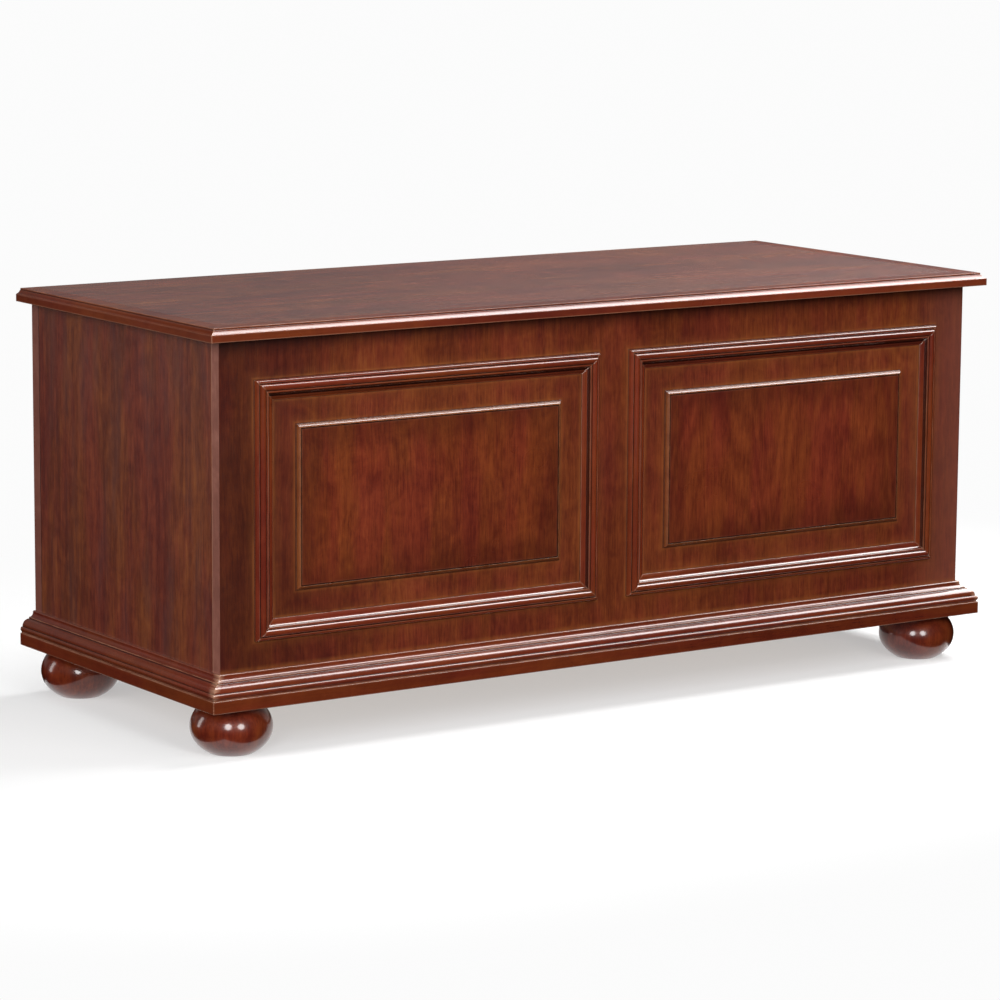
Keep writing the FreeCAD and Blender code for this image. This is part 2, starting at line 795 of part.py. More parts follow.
def lid():
    """The lid panel, with its edge strips on the front and both ends."""
    corner = ("-lid_length / 2 + lid_edge_wide", "lid_front + lid_edge_wide", "seam")
    panel = box_body("lid_panel", corner,
                     ("lid_length - 2 * lid_edge_wide", "lid_depth - lid_edge_wide", "lid_thick"))
    lid_edge("lid_edge_front", ("-lid_length / 2", "lid_front", "seam"), UPRIGHT,
             "lid_length", ("start", "end"))
    lid_edge("lid_edge_left", ("-lid_length / 2", "back", "seam"), turned(-1 * Y, X, Z),
             "lid_depth", ("end",))
    lid_edge("lid_edge_right", ("lid_length / 2", "lid_front", "seam"), turned(Y, -1 * X, Z),
             "lid_depth", ("start",))
    seats = new_sketch(panel, "XY_Plane")
    holes = new_sketch(panel, "XY_Plane")
    for hinge in hinge_lefts().values():
        x = f"{hinge} - ({corner[0]})"
        y = f"back - leaf_wide - ({corner[1]})"
        rectangle(seats, x, y, "hinge_long", "leaf_wide")
        for share in leaf_screw_shares():
            circle(holes, f"{x} + {share} * hinge_long", f"{y} + leaf_wide / 2", "leaf_screw_radius + fit")
    pocket(panel, seats, "leaf_thick")
    pocket(panel, holes, "leaf_screw_long + leaf_head_thick")
    bracket_holes(panel, corner)


# ---------------------------------------------------------------- hinges

def hinge_lefts():
    """The left end of each hinge."""
    return {"left": "-hinge_spread - hinge_long / 2", "middle": "-hinge_long / 2",
            "right": "hinge_spread - hinge_long / 2"}


def leaf_screw_shares():
    """Places of a leaf's screws along its length."""
    return (0.17, 0.5, 0.83)


def hinge_seats(rear):
    """Mortises and pilot holes in the top edge of the back board."""
    seats = new_sketch(rear, "XY_Plane", "case_high")
    holes = new_sketch(rear, "XY_Plane", "case_high")
    for hinge in hinge_lefts().values():
        x = f"{hinge} + case_length / 2"
        rectangle(seats, x, "board - leaf_wide", "hinge_long", "leaf_wide")
        for share in leaf_screw_shares():
            circle(holes, f"{x} + {share} * hinge_long", "board - leaf_wide / 2", "leaf_screw_radius + fit")
    pocket(rear, seats, "leaf_thick", False)
    pocket(rear, holes, "leaf_screw_long + leaf_head_thick", False)


def hinge_leaf(label, at, turn, knuckles):
    """A leaf with its share of the five knuckles, each a fifth of the length."""
    body = new_body(label, at, turn)
    plate = new_sketch(body, "XY_Plane")
    rectangle(plate, "0", "0", "hinge_long", "leaf_wide - barrel_gap")
    pad(body, plate, "leaf_thick")
    axis_y = "leaf_wide + barrel_gap + barrel_radius"
    for knuckle in knuckles:
        start = f"{knuckle} * hinge_long / 5 + knuckle_slack / 2"
        neck = new_sketch(body, "XY_Plane")
        rectangle(neck, start, "leaf_wide / 2", "hinge_long / 5 - knuckle_slack",
                  "leaf_wide / 2 + barrel_gap + barrel_radius")
        pad(body, neck, "leaf_thick")
        barrel = new_sketch(body, "YZ_Plane", start)
        circle(barrel, axis_y, "leaf_thick", "barrel_radius")
        pad(body, barrel, "hinge_long / 5 - knuckle_slack")
    bore = new_sketch(body, "YZ_Plane")
    circle(bore, axis_y, "leaf_thick", "pin_radius + fit")
    pocket(body, bore, "hinge_long")
    through = new_sketch(body, "XY_Plane")
    seats = new_sketch(body, "XY_Plane", "leaf_thick")
    for share in leaf_screw_shares():
        circle(through, f"{share} * hinge_long", "leaf_wide / 2", "leaf_screw_radius + fit")
        circle(seats, f"{share} * hinge_long", "leaf_wide / 2", "leaf_head_radius + fit")
    pocket(body, through, "leaf_thick")
    pocket(body, seats, "leaf_head_thick", False)


def hinges():
    """Butt hinges let into the back board's top edge and the lid's underside."""
    pins = []
    along = turned(-1 * Z, Y, X)
    case_steps = [("leaf_head_radius", "leaf_head_thick"), ("leaf_screw_radius", "leaf_screw_long")]
    case_screws = []
    lid_screws = []
    for name, left in hinge_lefts().items():
        hinge_leaf(f"hinge_case_leaf_{name}", (left, "back - leaf_wide", "seam - leaf_thick"),
                   UPRIGHT, (0, 2, 4))
        hinge_leaf(f"hinge_lid_leaf_{name}",
                   (f"{left} + hinge_long", "back - leaf_wide", "seam + leaf_thick"),
                   turned(-1 * X, Y, -1 * Z), (1, 3))
        pins.append(cylinder("pin_radius", "hinge_long", (left, "hinge_y", "seam"), along))
        for share in leaf_screw_shares():
            spot = (f"{left} + {share} * hinge_long", "back - leaf_wide / 2", "seam")
            case_screws.append(stepped_pin(spot, False, case_steps))
            lid_screws.append(stepped_pin(spot, True, case_steps))
    group("hinge_pins", pins)
    group("hinge_case_screws", case_screws)
    group("hinge_lid_screws", lid_screws)


# ---------------------------------------------------------------- lid stays

def bracket_screw_spots():
    """Places of a bracket's screws: distance in from the pivot plane and forwards of the pivot."""
    return (("bracket_screw_in", "bracket_screw_near"), ("bracket_screw_in", "bracket_screw_far"))


def bracket_holes(panel, corner):
    """Pilot holes in the lid's underside for the stay brackets."""
    holes = new_sketch(panel, "XY_Plane")
    for sign in SIDES.values():
        for inward, forward in bracket_screw_spots():
            circle(holes, f"{sign} * (arm_x - {inward}) - ({corner[0]})",
                   f"pivot_y - {forward} - ({corner[1]})", "leaf_screw_radius + fit")
    pocket(panel, holes, "leaf_screw_long")


def stay_bracket(side):
    """An angle bracket under the lid: a plate for two screws and a tab that carries the rivet."""
    sign = SIDES[side]
    edge = "arm_x + bracket_gap + bracket_thick"
    x = f"-({edge})" if side == "left" else "arm_x - bracket_wide"
    body = box_body(f"stay_bracket_{side}", (x, "pivot_y - bracket_reach", "seam - bracket_thick"),
                    ("bracket_wide + bracket_gap + bracket_thick", "bracket_reach + arm_half",
                     "bracket_thick"))
    tab_start = "0" if side == "left" else "bracket_wide + bracket_gap"
    tab = new_sketch(body, "YZ_Plane", tab_start)
    pivot = "bracket_reach"
    low = "bracket_thick - pivot_drop"
    outline(tab, [(f"{pivot} - arm_half", low, "-arm_half"), (pivot, f"{low} - arm_half", "-arm_half"),
                  (f"{pivot} + arm_half", low), (f"{pivot} + arm_half", "bracket_thick"),
                  (f"{pivot} - arm_half", "bracket_thick")])
    pad(body, tab, "bracket_thick")
    bore = new_sketch(body, "YZ_Plane", tab_start)
    circle(bore, pivot, low, "rivet_radius + fit")
    pocket(body, bore, "bracket_thick")
    holes = new_sketch(body, "XY_Plane")
    for inward, forward in bracket_screw_spots():
        circle(holes, f"{sign} * (arm_x - {inward}) - ({x})", f"{pivot} - {forward}",
               "leaf_screw_radius + fit")
    pocket(body, holes, "bracket_thick")


def stay_rivets():
    """Shouldered rivets that hold the arms against the bracket tabs."""
    rivets = []
    for sign in SIDES.values():
        turn = turned(-sign * Z, Y, sign * X)
        inner = "arm_x - arm_thick - arm_gap"
        outer = "arm_x + bracket_gap + bracket_thick"
        steps = [("rivet_radius + rivet_head_wider", "rivet_head_thick", f"{inner} - rivet_head_thick"),
                 ("rivet_radius", f"{outer} - ({inner})", inner),
                 ("rivet_radius + rivet_tail_wider", "rivet_tail_thick", outer)]
        rivets.append(joined([cylinder(radius, length,
                                       (f"{sign} * ({start})", "pivot_y", "pivot_z"), turn)
                              for radius, length, start in steps]))
    group("stay_rivets", rivets)


def stay_bracket_screws():
    """Pan-head screws up through the bracket plates into the lid."""
    length = "bracket_thick + leaf_screw_long - leaf_head_thick"
    screws = []
    for sign in SIDES.values():
        for inward, forward in bracket_screw_spots():
            spot = (f"{sign} * (arm_x - {inward})", f"pivot_y - {forward}")
            head = cylinder("leaf_head_radius", "bracket_head_thick",
                            (*spot, "seam - bracket_thick - bracket_head_thick"))
            shank = cylinder("leaf_screw_radius", length, (*spot, "seam - bracket_thick"))
            screws.append(joined([head, shank]))
    group("stay_bracket_screws", screws)


def stay_stud(side):
    """The fixed stud on a side board: threaded tail, flange, shoulder, slot pin and retaining head."""
    sign = SIDES[side]
    turn = turned(sign * Z, Y, -sign * X)
    shoulder = "stud_flange_thick"
    pin = "arm_inset - stud_gap"
    head = "arm_inset + arm_thick + stud_gap"
    steps = [("rivet_radius - fit", "stud_tail", "-stud_tail"),
             ("stud_radius + stud_flange_wider", "stud_flange_thick", "0"),
             ("stud_radius + stud_shoulder_wider", f"{pin} - {shoulder}", shoulder),
             ("stud_radius", f"{head} - ({pin})", pin),
             ("stud_radius + stud_head_wider", "stud_head_thick", head)]
    parts = [cylinder(radius, length,
                      (f"{sign} * (inner_length / 2 - ({start}))", "stud_y", "stud_z"), turn)
             for radius, length, start in steps]
    keep(joined(parts), f"stay_stud_{side}")


def stay_arm(side):
    """A slotted steel arm that turns on the lid bracket and slides on the side stud."""
    sign = SIDES[side]
    run = FreeCAD.Vector(0, value("stud_y - pivot_y"), value("stud_z - pivot_z")).normalize()
    across = (sign * X).cross(run)
    outer = "arm_x" if side == "right" else "-arm_x"
    flat = turned(run, across, sign * X)
    start = f"{outer} - {sign} * arm_thick"
    body = new_body(f"stay_arm_{side}", (start, "pivot_y", "pivot_z"), flat)
    plate = new_sketch(body, "XY_Plane")
    half = "arm_half"
    tip = "slot_open + slot_end"
    outline(plate, [("0", f"-{half}"), (tip, f"-{half}", f"-{half}"), (f"{tip} + {half}", "0", f"-{half}"),
                    (tip, half), ("0", half, f"-{half}"), (f"-{half}", "0", f"-{half}")])
    pad(body, plate, "arm_thick")
    eye = new_sketch(body, "XY_Plane")
    circle(eye, "0", "0", "rivet_radius + fit")
    pocket(body, eye, "arm_thick")
    slot = new_sketch(body, "XY_Plane")
    edge = "slot_half"
    outline(slot, [("slot_shut", f"-{edge}"), ("slot_open", f"-{edge}", f"-{edge}"),
                   (f"slot_open + {edge}", "0", f"-{edge}"), ("slot_open", edge),
                   ("slot_shut", edge, f"-{edge}"), (f"slot_shut - {edge}", "0", f"-{edge}")])
    pocket(body, slot, "arm_thick")


# ---------------------------------------------------------------- checks and files

def check_model():
    """Stop where an object failed, a sub-part has no sound shape or a cut removed nothing."""
    for thing in doc.Objects:
        if {"Invalid", "Error"} & set(thing.State):
            raise RuntimeError(f"{thing.Name} failed: {thing.State}")
        if thing.TypeId == "PartDesign::Pocket":
            if thing.Shape.Volume > thing.BaseFeature.Shape.Volume - 1e-3:
                raise RuntimeError(f"{thing.Name} cuts nothing")
    for thing in subparts:
        if thing.Shape.isNull() or not thing.Shape.isValid():
            raise RuntimeError(f"{thing.Label} has no sound shape")


def write_parts():
    """Each sub-part's shape in a file of its own."""
    os.makedirs("parts", exist_ok=True)
    for thing in subparts:
        thing.Shape.exportStep(f"parts/{thing.Label}.step")
    print(len(subparts), "sub-parts")


fill_sheet()
front_board, back_board = case_boards()
base_screw_holes(front_board, back_board,
                 {side: doc.getObject(f"{side}_side") for side in SIDES})
bottom_panel()
bottom_bearer()
corner_posts()
case_dowels()
base_rails()
base_mouldings()
base_screws()
foot_blocks()
foot_tee_nuts()
foot_studs()
feet()
for side in SIDES:
    front_frame(side)
    raised_field(side)
lid()
hinges()
for side in SIDES:
    stay_bracket(side)
    stay_stud(side)
    stay_arm(side)
stay_rivets()
stay_bracket_screws()
doc.recompute()
check_model()
write_parts()
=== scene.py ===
import math

import bpy
from mathutils import Matrix, Vector


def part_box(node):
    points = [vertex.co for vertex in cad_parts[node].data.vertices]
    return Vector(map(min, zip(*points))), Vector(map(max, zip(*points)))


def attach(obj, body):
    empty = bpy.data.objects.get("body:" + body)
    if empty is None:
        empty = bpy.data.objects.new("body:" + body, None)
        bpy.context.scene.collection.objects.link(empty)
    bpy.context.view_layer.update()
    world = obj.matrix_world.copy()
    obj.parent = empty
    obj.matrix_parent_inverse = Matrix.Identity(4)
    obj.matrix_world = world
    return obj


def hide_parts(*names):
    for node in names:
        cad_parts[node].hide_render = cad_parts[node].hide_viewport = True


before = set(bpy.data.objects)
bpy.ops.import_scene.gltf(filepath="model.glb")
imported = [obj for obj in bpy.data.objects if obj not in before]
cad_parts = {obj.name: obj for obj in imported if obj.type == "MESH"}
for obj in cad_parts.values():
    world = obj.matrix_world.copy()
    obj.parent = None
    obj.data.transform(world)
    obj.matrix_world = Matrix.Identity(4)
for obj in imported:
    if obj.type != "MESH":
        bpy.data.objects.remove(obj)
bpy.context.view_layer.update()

# A wooden blanket chest. The boards, the hinges, the stays and the pieces inside are the CAD
# model's own nodes. The mouldings, the frames, the raised fields, the lid edges, the base rails and
# the feet are built here with finer profiles, softened arrises and their own wear.
# Lengths in the profiles are in mm, and everything else is in metres.

MM = 0.001
X, Y, Z = Vector((1, 0, 0)), Vector((0, 1, 0)), Vector((0, 0, 1))
SIDES = ("left", "right")

scene = bpy.context.scene
scene.view_settings.view_transform = "Standard"
scene.view_settings.look = "None"


# ---------------------------------------------------------------- shader writing

class Shader:
    """A material, with short calls that add nodes and return their output sockets."""

    def __init__(self, name):
        self.material = bpy.data.materials.new(name)
        self.material.use_nodes = True
        self.tree = self.material.node_tree
        self.tree.nodes.clear()

    def node(self, kind, inputs, out=0, **settings):
        made = self.tree.nodes.new(kind)
        for key, value in settings.items():
            setattr(made, key, value)
        for key, value in inputs.items():
            if isinstance(value, bpy.types.NodeSocket):
                self.tree.links.new(value, made.inputs[key])
            elif value is not None:
                made.inputs[key].default_value = value
        return made.outputs[out]

    def math(self, operation, a, b=None, c=None):
        return self.node("ShaderNodeMath", {0: a, 1: b, 2: c}, operation=operation)

    def times(self, a, b):
        return self.math("MULTIPLY", a, b)

    def vector(self, operation, a, b):
        return self.node("ShaderNodeVectorMath", {0: a, 1: b}, operation=operation)

    def blend(self, share, a, b, how="MIX"):
        """The second colour laid over the first by a share."""
        return self.node("ShaderNodeMix", {0: share, 6: a, 7: b}, 2, data_type="RGBA",
                         blend_type=how)

    def noise(self, where, scale, detail=2.0, rough=0.5, warp=0.0):
        """Noise from 0 to 1, stretched by a scale for each axis."""
        stretched = self.vector("MULTIPLY", where, scale)
        return self.node("ShaderNodeTexNoise", {"Vector": stretched, "Scale": 1.0,
                                                "Detail": detail, "Roughness": rough,
                                                "Distortion": warp})

    def span(self, value, low, high, start=0.0, stop=1.0):
        """A smooth rise from start to stop as the value goes from low to high."""
        return self.node("ShaderNodeMapRange", {0: value, 1: low, 2: high, 3: start, 4: stop},
                         interpolation_type="SMOOTHSTEP")

    def ramp(self, value, stops):
        """A colour for each value, from stops of (value, colour)."""
        made = self.tree.nodes.new("ShaderNodeValToRGB")
        while len(made.color_ramp.elements) < len(stops):
            made.color_ramp.elements.new(1.0)
        for element, (position, colour) in zip(made.color_ramp.elements, stops):
            element.position = position
            element.color = (*colour, 1)
        self.tree.links.new(value, made.inputs[0])
        return made.outputs[0]

    def parts(self, where):
        """The x, y and z of a vector."""
        made = self.tree.nodes.new("ShaderNodeSeparateXYZ")
        self.tree.links.new(where, made.inputs[0])
        return made.outputs

    def join(self, x, y, z):
        return self.node("ShaderNodeCombineXYZ", {0: x, 1: y, 2: z})

    def attribute(self, name, out):
        made = self.tree.nodes.new("ShaderNodeAttribute")
        made.attribute_name = name
        return made.outputs[out]

    def place(self):
        """Position in the object's frame, in metres."""
        return self.tree.nodes.new("ShaderNodeTexCoord").outputs["Object"]

    def normal(self):
        """Direction of the surface in the object's frame."""
        return self.tree.nodes.new("ShaderNodeTexCoord").outputs["Normal"]

    def finish(self, colour, roughness, height, depth, **fixed):
        """The surface: colour, roughness and fine relief, with one number for all the rest."""
        bump = self.node("ShaderNodeBump", {"Strength": 1.0, "Distance": depth,
                                            "Height": height})
        made = self.tree.nodes.new("ShaderNodeBsdfPrincipled")
        self.tree.links.new(colour, made.inputs["Base Color"])
        self.tree.links.new(roughness, made.inputs["Roughness"])
        self.tree.links.new(bump, made.inputs["Normal"])
        for key, value in fixed.items():
            made.inputs[key.replace("_", " ")].default_value = value
        out = self.tree.nodes.new("ShaderNodeOutputMaterial")
        self.tree.links.new(made.outputs[0], out.inputs[0])
        return self.material


# ---------------------------------------------------------------- wood

# The stain, from the darkest grain to the lightest.
DARK = (0.035, 0.0055, 0.0034)
DEEP = (0.083, 0.0135, 0.0058)
WARM = (0.150, 0.0300, 0.0100)
GOLD = (0.250, 0.0720, 0.0190)
# Wear on arrises and mitres, the golden rim round a moulding (partly rubbed, partly a painted
# reflection), and the dark glaze in a quirk, also used for painted shade.
BEIGE = (0.42, 0.235, 0.150, 1)
HALO = (0.270, 0.090, 0.022, 1)
GLAZE_AND_SHADE = (0.0085, 0.0024, 0.0022, 1)
# A painted haze of reflected light, and dull dusty patches.
PAINTED_HAZE = (0.190, 0.068, 0.048, 1)
DUSTY = (0.080, 0.036, 0.034, 1)

# How far these lie from the line that they follow.
RIM_REACH = 0.0048
HALO_REACH = 0.016
CREASE_SHADE_REACH = 0.0011
BASE_RIM_REACH = 0.007
LINE_HALF = 0.0006

# Where marks start and stop: heights under the lid, and depths at the case's corner joints.
LID_SHADOW = (0.494, 0.519)
FRONT_ARRIS = (-0.2176, -0.2166)
BACK_JOINT = (0.2312, 0.2320)


def shade(colour, gain):
    return tuple(c * g for c, g in zip(colour, gain))


def wood_tone(s, grain, seed, figure=0.0, mottle=0.40, streak=0.34, broad=0.50, fine=1.0):
    """How light the stained wood is, 0 to 1, and its relief. Grain runs along the first axis.

    broad, streak, fine and mottle weigh the layers, and figure weighs the growth rings.
    """
    where = s.vector("ADD", grain, (seed * 3.7, seed * 1.3, seed * 0.71))
    sway = s.noise(where, (1.6, 5.0, 5.0), 2.0)
    swayed = s.vector("ADD", where, s.join(0.0, s.times(sway, 0.030), 0.0))
    layers = ((s.noise(where, (2.3, 8.0, 8.0), 2.0, 0.55), broad),
              (s.noise(swayed, (2.6, 95.0, 95.0), 3.0, 0.65), streak),
              (s.noise(swayed, (34.0, 520.0, 520.0), 2.0, 0.60), 0.42 * fine),
              (s.noise(swayed, (60.0, 170.0, 170.0), 2.0, 0.60), 0.26 * fine),
              (s.noise(where, (30.0, 26.0, 26.0), 3.0, 0.62, 0.8), mottle))
    tone = 0.5
    for layer, weight in layers:
        tone = s.math("ADD", tone, s.math("MULTIPLY_ADD", layer, weight, -0.5 * weight))
    if figure:
        hills = s.noise(where, (1.5, 6.5, 6.5), 1.5, 0.45)
        rings = s.math("SINE", s.times(hills, 150.0))
        jitter = s.math("MULTIPLY_ADD", layers[1][0], 2.0, -0.2)
        tone = s.math("ADD", tone, s.times(s.times(rings, jitter), figure))
    pores = s.noise(swayed, (70.0, 1100.0, 1100.0), 1.0, 0.5)
    pit = s.span(pores, 0.60, 0.72)
    tone = s.math("SUBTRACT", tone, s.times(pit, 0.12 * fine))
    relief = s.math("SUBTRACT", s.times(layers[2][0], 0.5), pit)
    return tone, relief


def wood_colour(s, tone, gain, grain, warmth=1.0):
    """Stain from nearly black to golden, drifting between red and orange across the grain."""
    stops = ((0.05, DARK), (0.38, DEEP), (0.62, WARM), (0.98, GOLD))
    colour = s.ramp(tone, [(at, shade(colour, gain)) for at, colour in stops])
    drift = s.span(s.noise(grain, (4.0, 19.0, 19.0), 3.0, 0.6), 0.36, 0.64)
    red = s.blend(1.0, colour, (0.98, 0.85, 1.05, 1), "MULTIPLY")
    orange = s.blend(1.0, colour, (1.03, 1.13 * warmth, 0.94, 1), "MULTIPLY")
    return s.blend(drift, red, orange)


def lacquer(s, colour, relief, where, rough=0.36, coat=1.0, coat_rough=0.16, depth=0.00004,
            shine=0.3):
    """Semi-gloss lacquer over the colour, with a slight unevenness."""
    uneven = s.noise(where, (11.0, 11.0, 11.0), 2.0)
    roughness = s.math("MULTIPLY_ADD", uneven, 0.12, rough - 0.06)
    ripple = s.noise(where, (60.0, 60.0, 60.0), 2.0)
    height = s.math("ADD", relief, s.times(ripple, 2.5))
    return s.finish(colour, roughness, height, depth, Coat_Weight=coat,
                    Coat_Roughness=coat_rough, Coat_IOR=1.5, Specular_IOR_Level=shine)


def box_gap(s, along, up, low, high):
    """Distance outside a rectangle, under 0 inside it. Its corners are (x, z)."""
    half_wide = (high[0] - low[0]) / 2
    half_tall = (high[1] - low[1]) / 2
    sideways = s.math("ABSOLUTE", s.math("SUBTRACT", along, (low[0] + high[0]) / 2))
    upright = s.math("ABSOLUTE", s.math("SUBTRACT", up, (low[1] + high[1]) / 2))
    return s.math("MAXIMUM", s.math("SUBTRACT", sideways, half_wide),
                  s.math("SUBTRACT", upright, half_tall))


def near(s, gap, reach):
    """1 on a line and falling to 0 at a distance, on the side where the gap is over 0."""
    return s.times(s.span(gap, 0.0, reach, 1.0, 0.0), s.math("GREATER_THAN", gap, -LINE_HALF))


def halo(s, gap):
    """A narrow bright rim by a line, in a broad faint one: partly a paler finish and partly a
    painted reflection of the lit moulding beside it.
    """
    return s.math("ADD", s.times(near(s, gap, RIM_REACH), 0.62),
                  s.times(near(s, gap, HALO_REACH), 0.22))


def strongest(s, marks):
    """The largest of several marks at each point."""
    most = marks[0]
    for mark in marks[1:]:
        most = s.math("MAXIMUM", most, mark)
    return most


def outline_of(*nodes):
    """Lowest and highest x and z of some nodes."""
    boxes = [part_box(node) for node in nodes]
    return ((min(b[0].x for b in boxes), min(b[0].z for b in boxes)),
            (max(b[1].x for b in boxes), max(b[1].z for b in boxes)))


FRAME_PARTS = ("top", "bottom", "inner", "outer")
FRAMES = {side: outline_of(*[f"frame_{side}_{part}" for part in FRAME_PARTS]) for side in SIDES}
FIELDS = {side: outline_of(f"field_{side}") for side in SIDES}
WIDE, PROUD = 26.0, 9.6
STRIP = WIDE * MM


def front_veneer():
    """Vertical veneer with golden rims round the frames and fields and over the base (partly a
    rubbed finish, partly a painted reflection of the lit mouldings), painted shade in the creases,
    under the lid and at the left, and a painted haze at the right.
    """
    s = Shader("front_veneer")
    x, y, z = s.parts(s.place())
    grain = s.join(z, x, y)
    tone, relief = wood_tone(s, grain, 1.0)
    colour = wood_colour(s, tone, (1.0, 1.0, 1.0), grain)
    # Painted shade: the front's left part darkened towards its end.
    colour = s.blend(s.span(x, -0.60, -0.30, 0.48, 0.0), colour, GLAZE_AND_SHADE)
    # Painted haze: a pale reflection laid over the front's right part.
    colour = s.blend(s.span(x, 0.47, 0.60, 0.0, 0.42), colour, PAINTED_HAZE)
    rims, crease_shade = [], []
    for side in SIDES:
        (low_x, low_z), (high_x, high_z) = FRAMES[side]
        outer = box_gap(s, x, z, (low_x, low_z), (high_x, high_z))
        inner = box_gap(s, x, z, (low_x + STRIP, low_z + STRIP),
                        (high_x - STRIP, high_z - STRIP))
        inward = s.times(inner, -1.0)
        inside = s.math("LESS_THAN", inner, 0.0)
        field = box_gap(s, x, z, *FIELDS[side])
        rims.append(halo(s, outer))
        rims.append(s.times(s.times(halo(s, inward), 0.9), inside))
        rims.append(s.times(s.times(halo(s, field), 0.8), inside))
        crease_shade.append(near(s, outer, CREASE_SHADE_REACH))
        crease_shade.append(s.times(near(s, inward, CREASE_SHADE_REACH), inside))
        crease_shade.append(s.times(near(s, field, CREASE_SHADE_REACH), inside))
    base_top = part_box("base_moulding_front")[1].z
    rims.append(s.times(near(s, s.math("SUBTRACT", z, base_top), BASE_RIM_REACH), 0.6))
    patchy = s.span(s.noise(grain, (9.0, 60.0, 60.0), 3.0, 0.6), 0.30, 0.62, 0.35, 1.0)
    # The golden rims: partly a paler rubbed finish and partly a painted reflection of the lit
    # mouldings in the board.
    glow = s.times(strongest(s, rims), s.times(patchy, 0.62))
    colour = s.blend(glow, colour, HALO)
    # Painted shade: dark lines in the creases where the frames and fields meet the board.
    colour = s.blend(s.times(strongest(s, crease_shade), 0.80), colour, GLAZE_AND_SHADE)
    colour = s.blend(s.span(z, *LID_SHADOW, 0.0, 0.50), colour, GLAZE_AND_SHADE)
    end = s.span(s.math("ABSOLUTE", s.parts(s.normal())[0]), 0.6, 0.9)
    colour = s.blend(end, colour, strip_colour(s, grain, 9.0))
    arris = s.times(end, s.span(y, *FRONT_ARRIS))
    colour = s.blend(s.times(arris, 0.7), colour, BEIGE)
    return lacquer(s, colour, relief, grain)


def strip_colour(s, grain, seed):
    """The paler upright edge of a board, seen as a strip at the end of the case."""
    tone, _ = wood_tone(s, grain, seed, mottle=0.7)
    return s.ramp(tone, [(0.1, (0.13, 0.046, 0.033)), (0.5, (0.215, 0.080, 0.058)),
                         (0.9, (0.33, 0.145, 0.105))])


def side_veneer():
    """Vertical veneer with long streaks, and a dark line in the joint at its back edge."""
    s = Shader("side_veneer")
    x, y, z = s.parts(s.place())
    grain = s.join(z, y, x)
    tone, relief = wood_tone(s, grain, 5.0, mottle=0.34, streak=0.44, broad=0.42, figure=0.05)
    colour = wood_colour(s, tone, (1.12, 1.24, 1.38), grain, 1.05)
    dull = s.span(s.noise(grain, (5.0, 24.0, 24.0), 3.0, 0.6), 0.45, 0.70, 0.0, 0.30)
    colour = s.blend(dull, colour, DUSTY)
    joint = s.span(y, *BACK_JOINT)
    colour = s.blend(s.times(joint, 0.9), colour, GLAZE_AND_SHADE)
    return lacquer(s, colour, relief, grain, rough=0.42, coat_rough=0.26)


def back_veneer():
    """Vertical veneer, with the board's paler reddish edge at each end of the case."""
    s = Shader("back_veneer")
    x, y, z = s.parts(s.place())
    grain = s.join(z, x, y)
    tone, relief = wood_tone(s, grain, 7.0, figure=0.08)
    colour = wood_colour(s, tone, (0.95, 0.95, 1.0), grain)
    end = s.span(s.math("ABSOLUTE", s.parts(s.normal())[0]), 0.6, 0.9)
    edge = s.blend(0.45, strip_colour(s, grain, 2.0), (0.10, 0.020, 0.012, 1))
    colour = s.blend(end, colour, edge)
    return lacquer(s, colour, relief, grain, rough=0.42, coat_rough=0.26)


def lid_colour(s):
    """Long grain across the whole top of the lid, and its relief."""
    grain = s.place()
    tone, relief = wood_tone(s, grain, 4.0, mottle=0.35, streak=0.6, broad=0.5, figure=0.06)
    return wood_colour(s, tone, (1.10, 1.10, 1.05), grain), relief, grain


def lid_veneer():
    """The lid's board, with the same grain as its edge strips."""
    s = Shader("lid_veneer")
    colour, relief, grain = lid_colour(s)
    return lacquer(s, colour, relief, grain, rough=0.42, coat_rough=0.20)


def moulding_wood(name, seed, gain, rough=0.24, coat_rough=0.10, wear=0.45, mitre=0.6,
                  coat=1.0, top=False):
    """Solid wood along a moulding, dark in its quirks and with painted shade on the slopes that its
    sweep lists, and rubbed pale on its arrises and mitres.

    With top, the faces that look up carry the lid's grain.
    """
    s = Shader(name)
    grain = s.attribute("grain", "Vector")
    tone, relief = wood_tone(s, grain, seed, mottle=0.24, streak=0.24, fine=0.30)
    colour = wood_colour(s, tone, gain, grain)
    rubbed = s.noise(grain, (30.0, 500.0, 500.0), 3.0, 0.65)
    # Dark glaze in the quirks, and painted shade on the slopes listed for the frames.
    colour = s.blend(s.times(s.attribute("glaze_and_shade", "Fac"), 0.9), colour, GLAZE_AND_SHADE)
    worn = s.times(s.attribute("wear", "Fac"), s.span(rubbed, 0.34, 0.60, 0.25, 1.0))
    colour = s.blend(s.times(worn, wear), colour, BEIGE)
    joint = s.times(s.attribute("mitre", "Fac"), s.span(rubbed, 0.38, 0.56, 0.1, 1.0))
    colour = s.blend(s.times(joint, mitre), colour, BEIGE)
    if top:
        upward = s.span(s.parts(s.normal())[2], 0.90, 0.98)
        veneer, _, _ = lid_colour(s)
        colour = s.blend(upward, colour, veneer)
    return lacquer(s, colour, relief, grain, rough=rough, coat=coat, coat_rough=coat_rough,
                   depth=0.000002, shine=0.5 * coat)


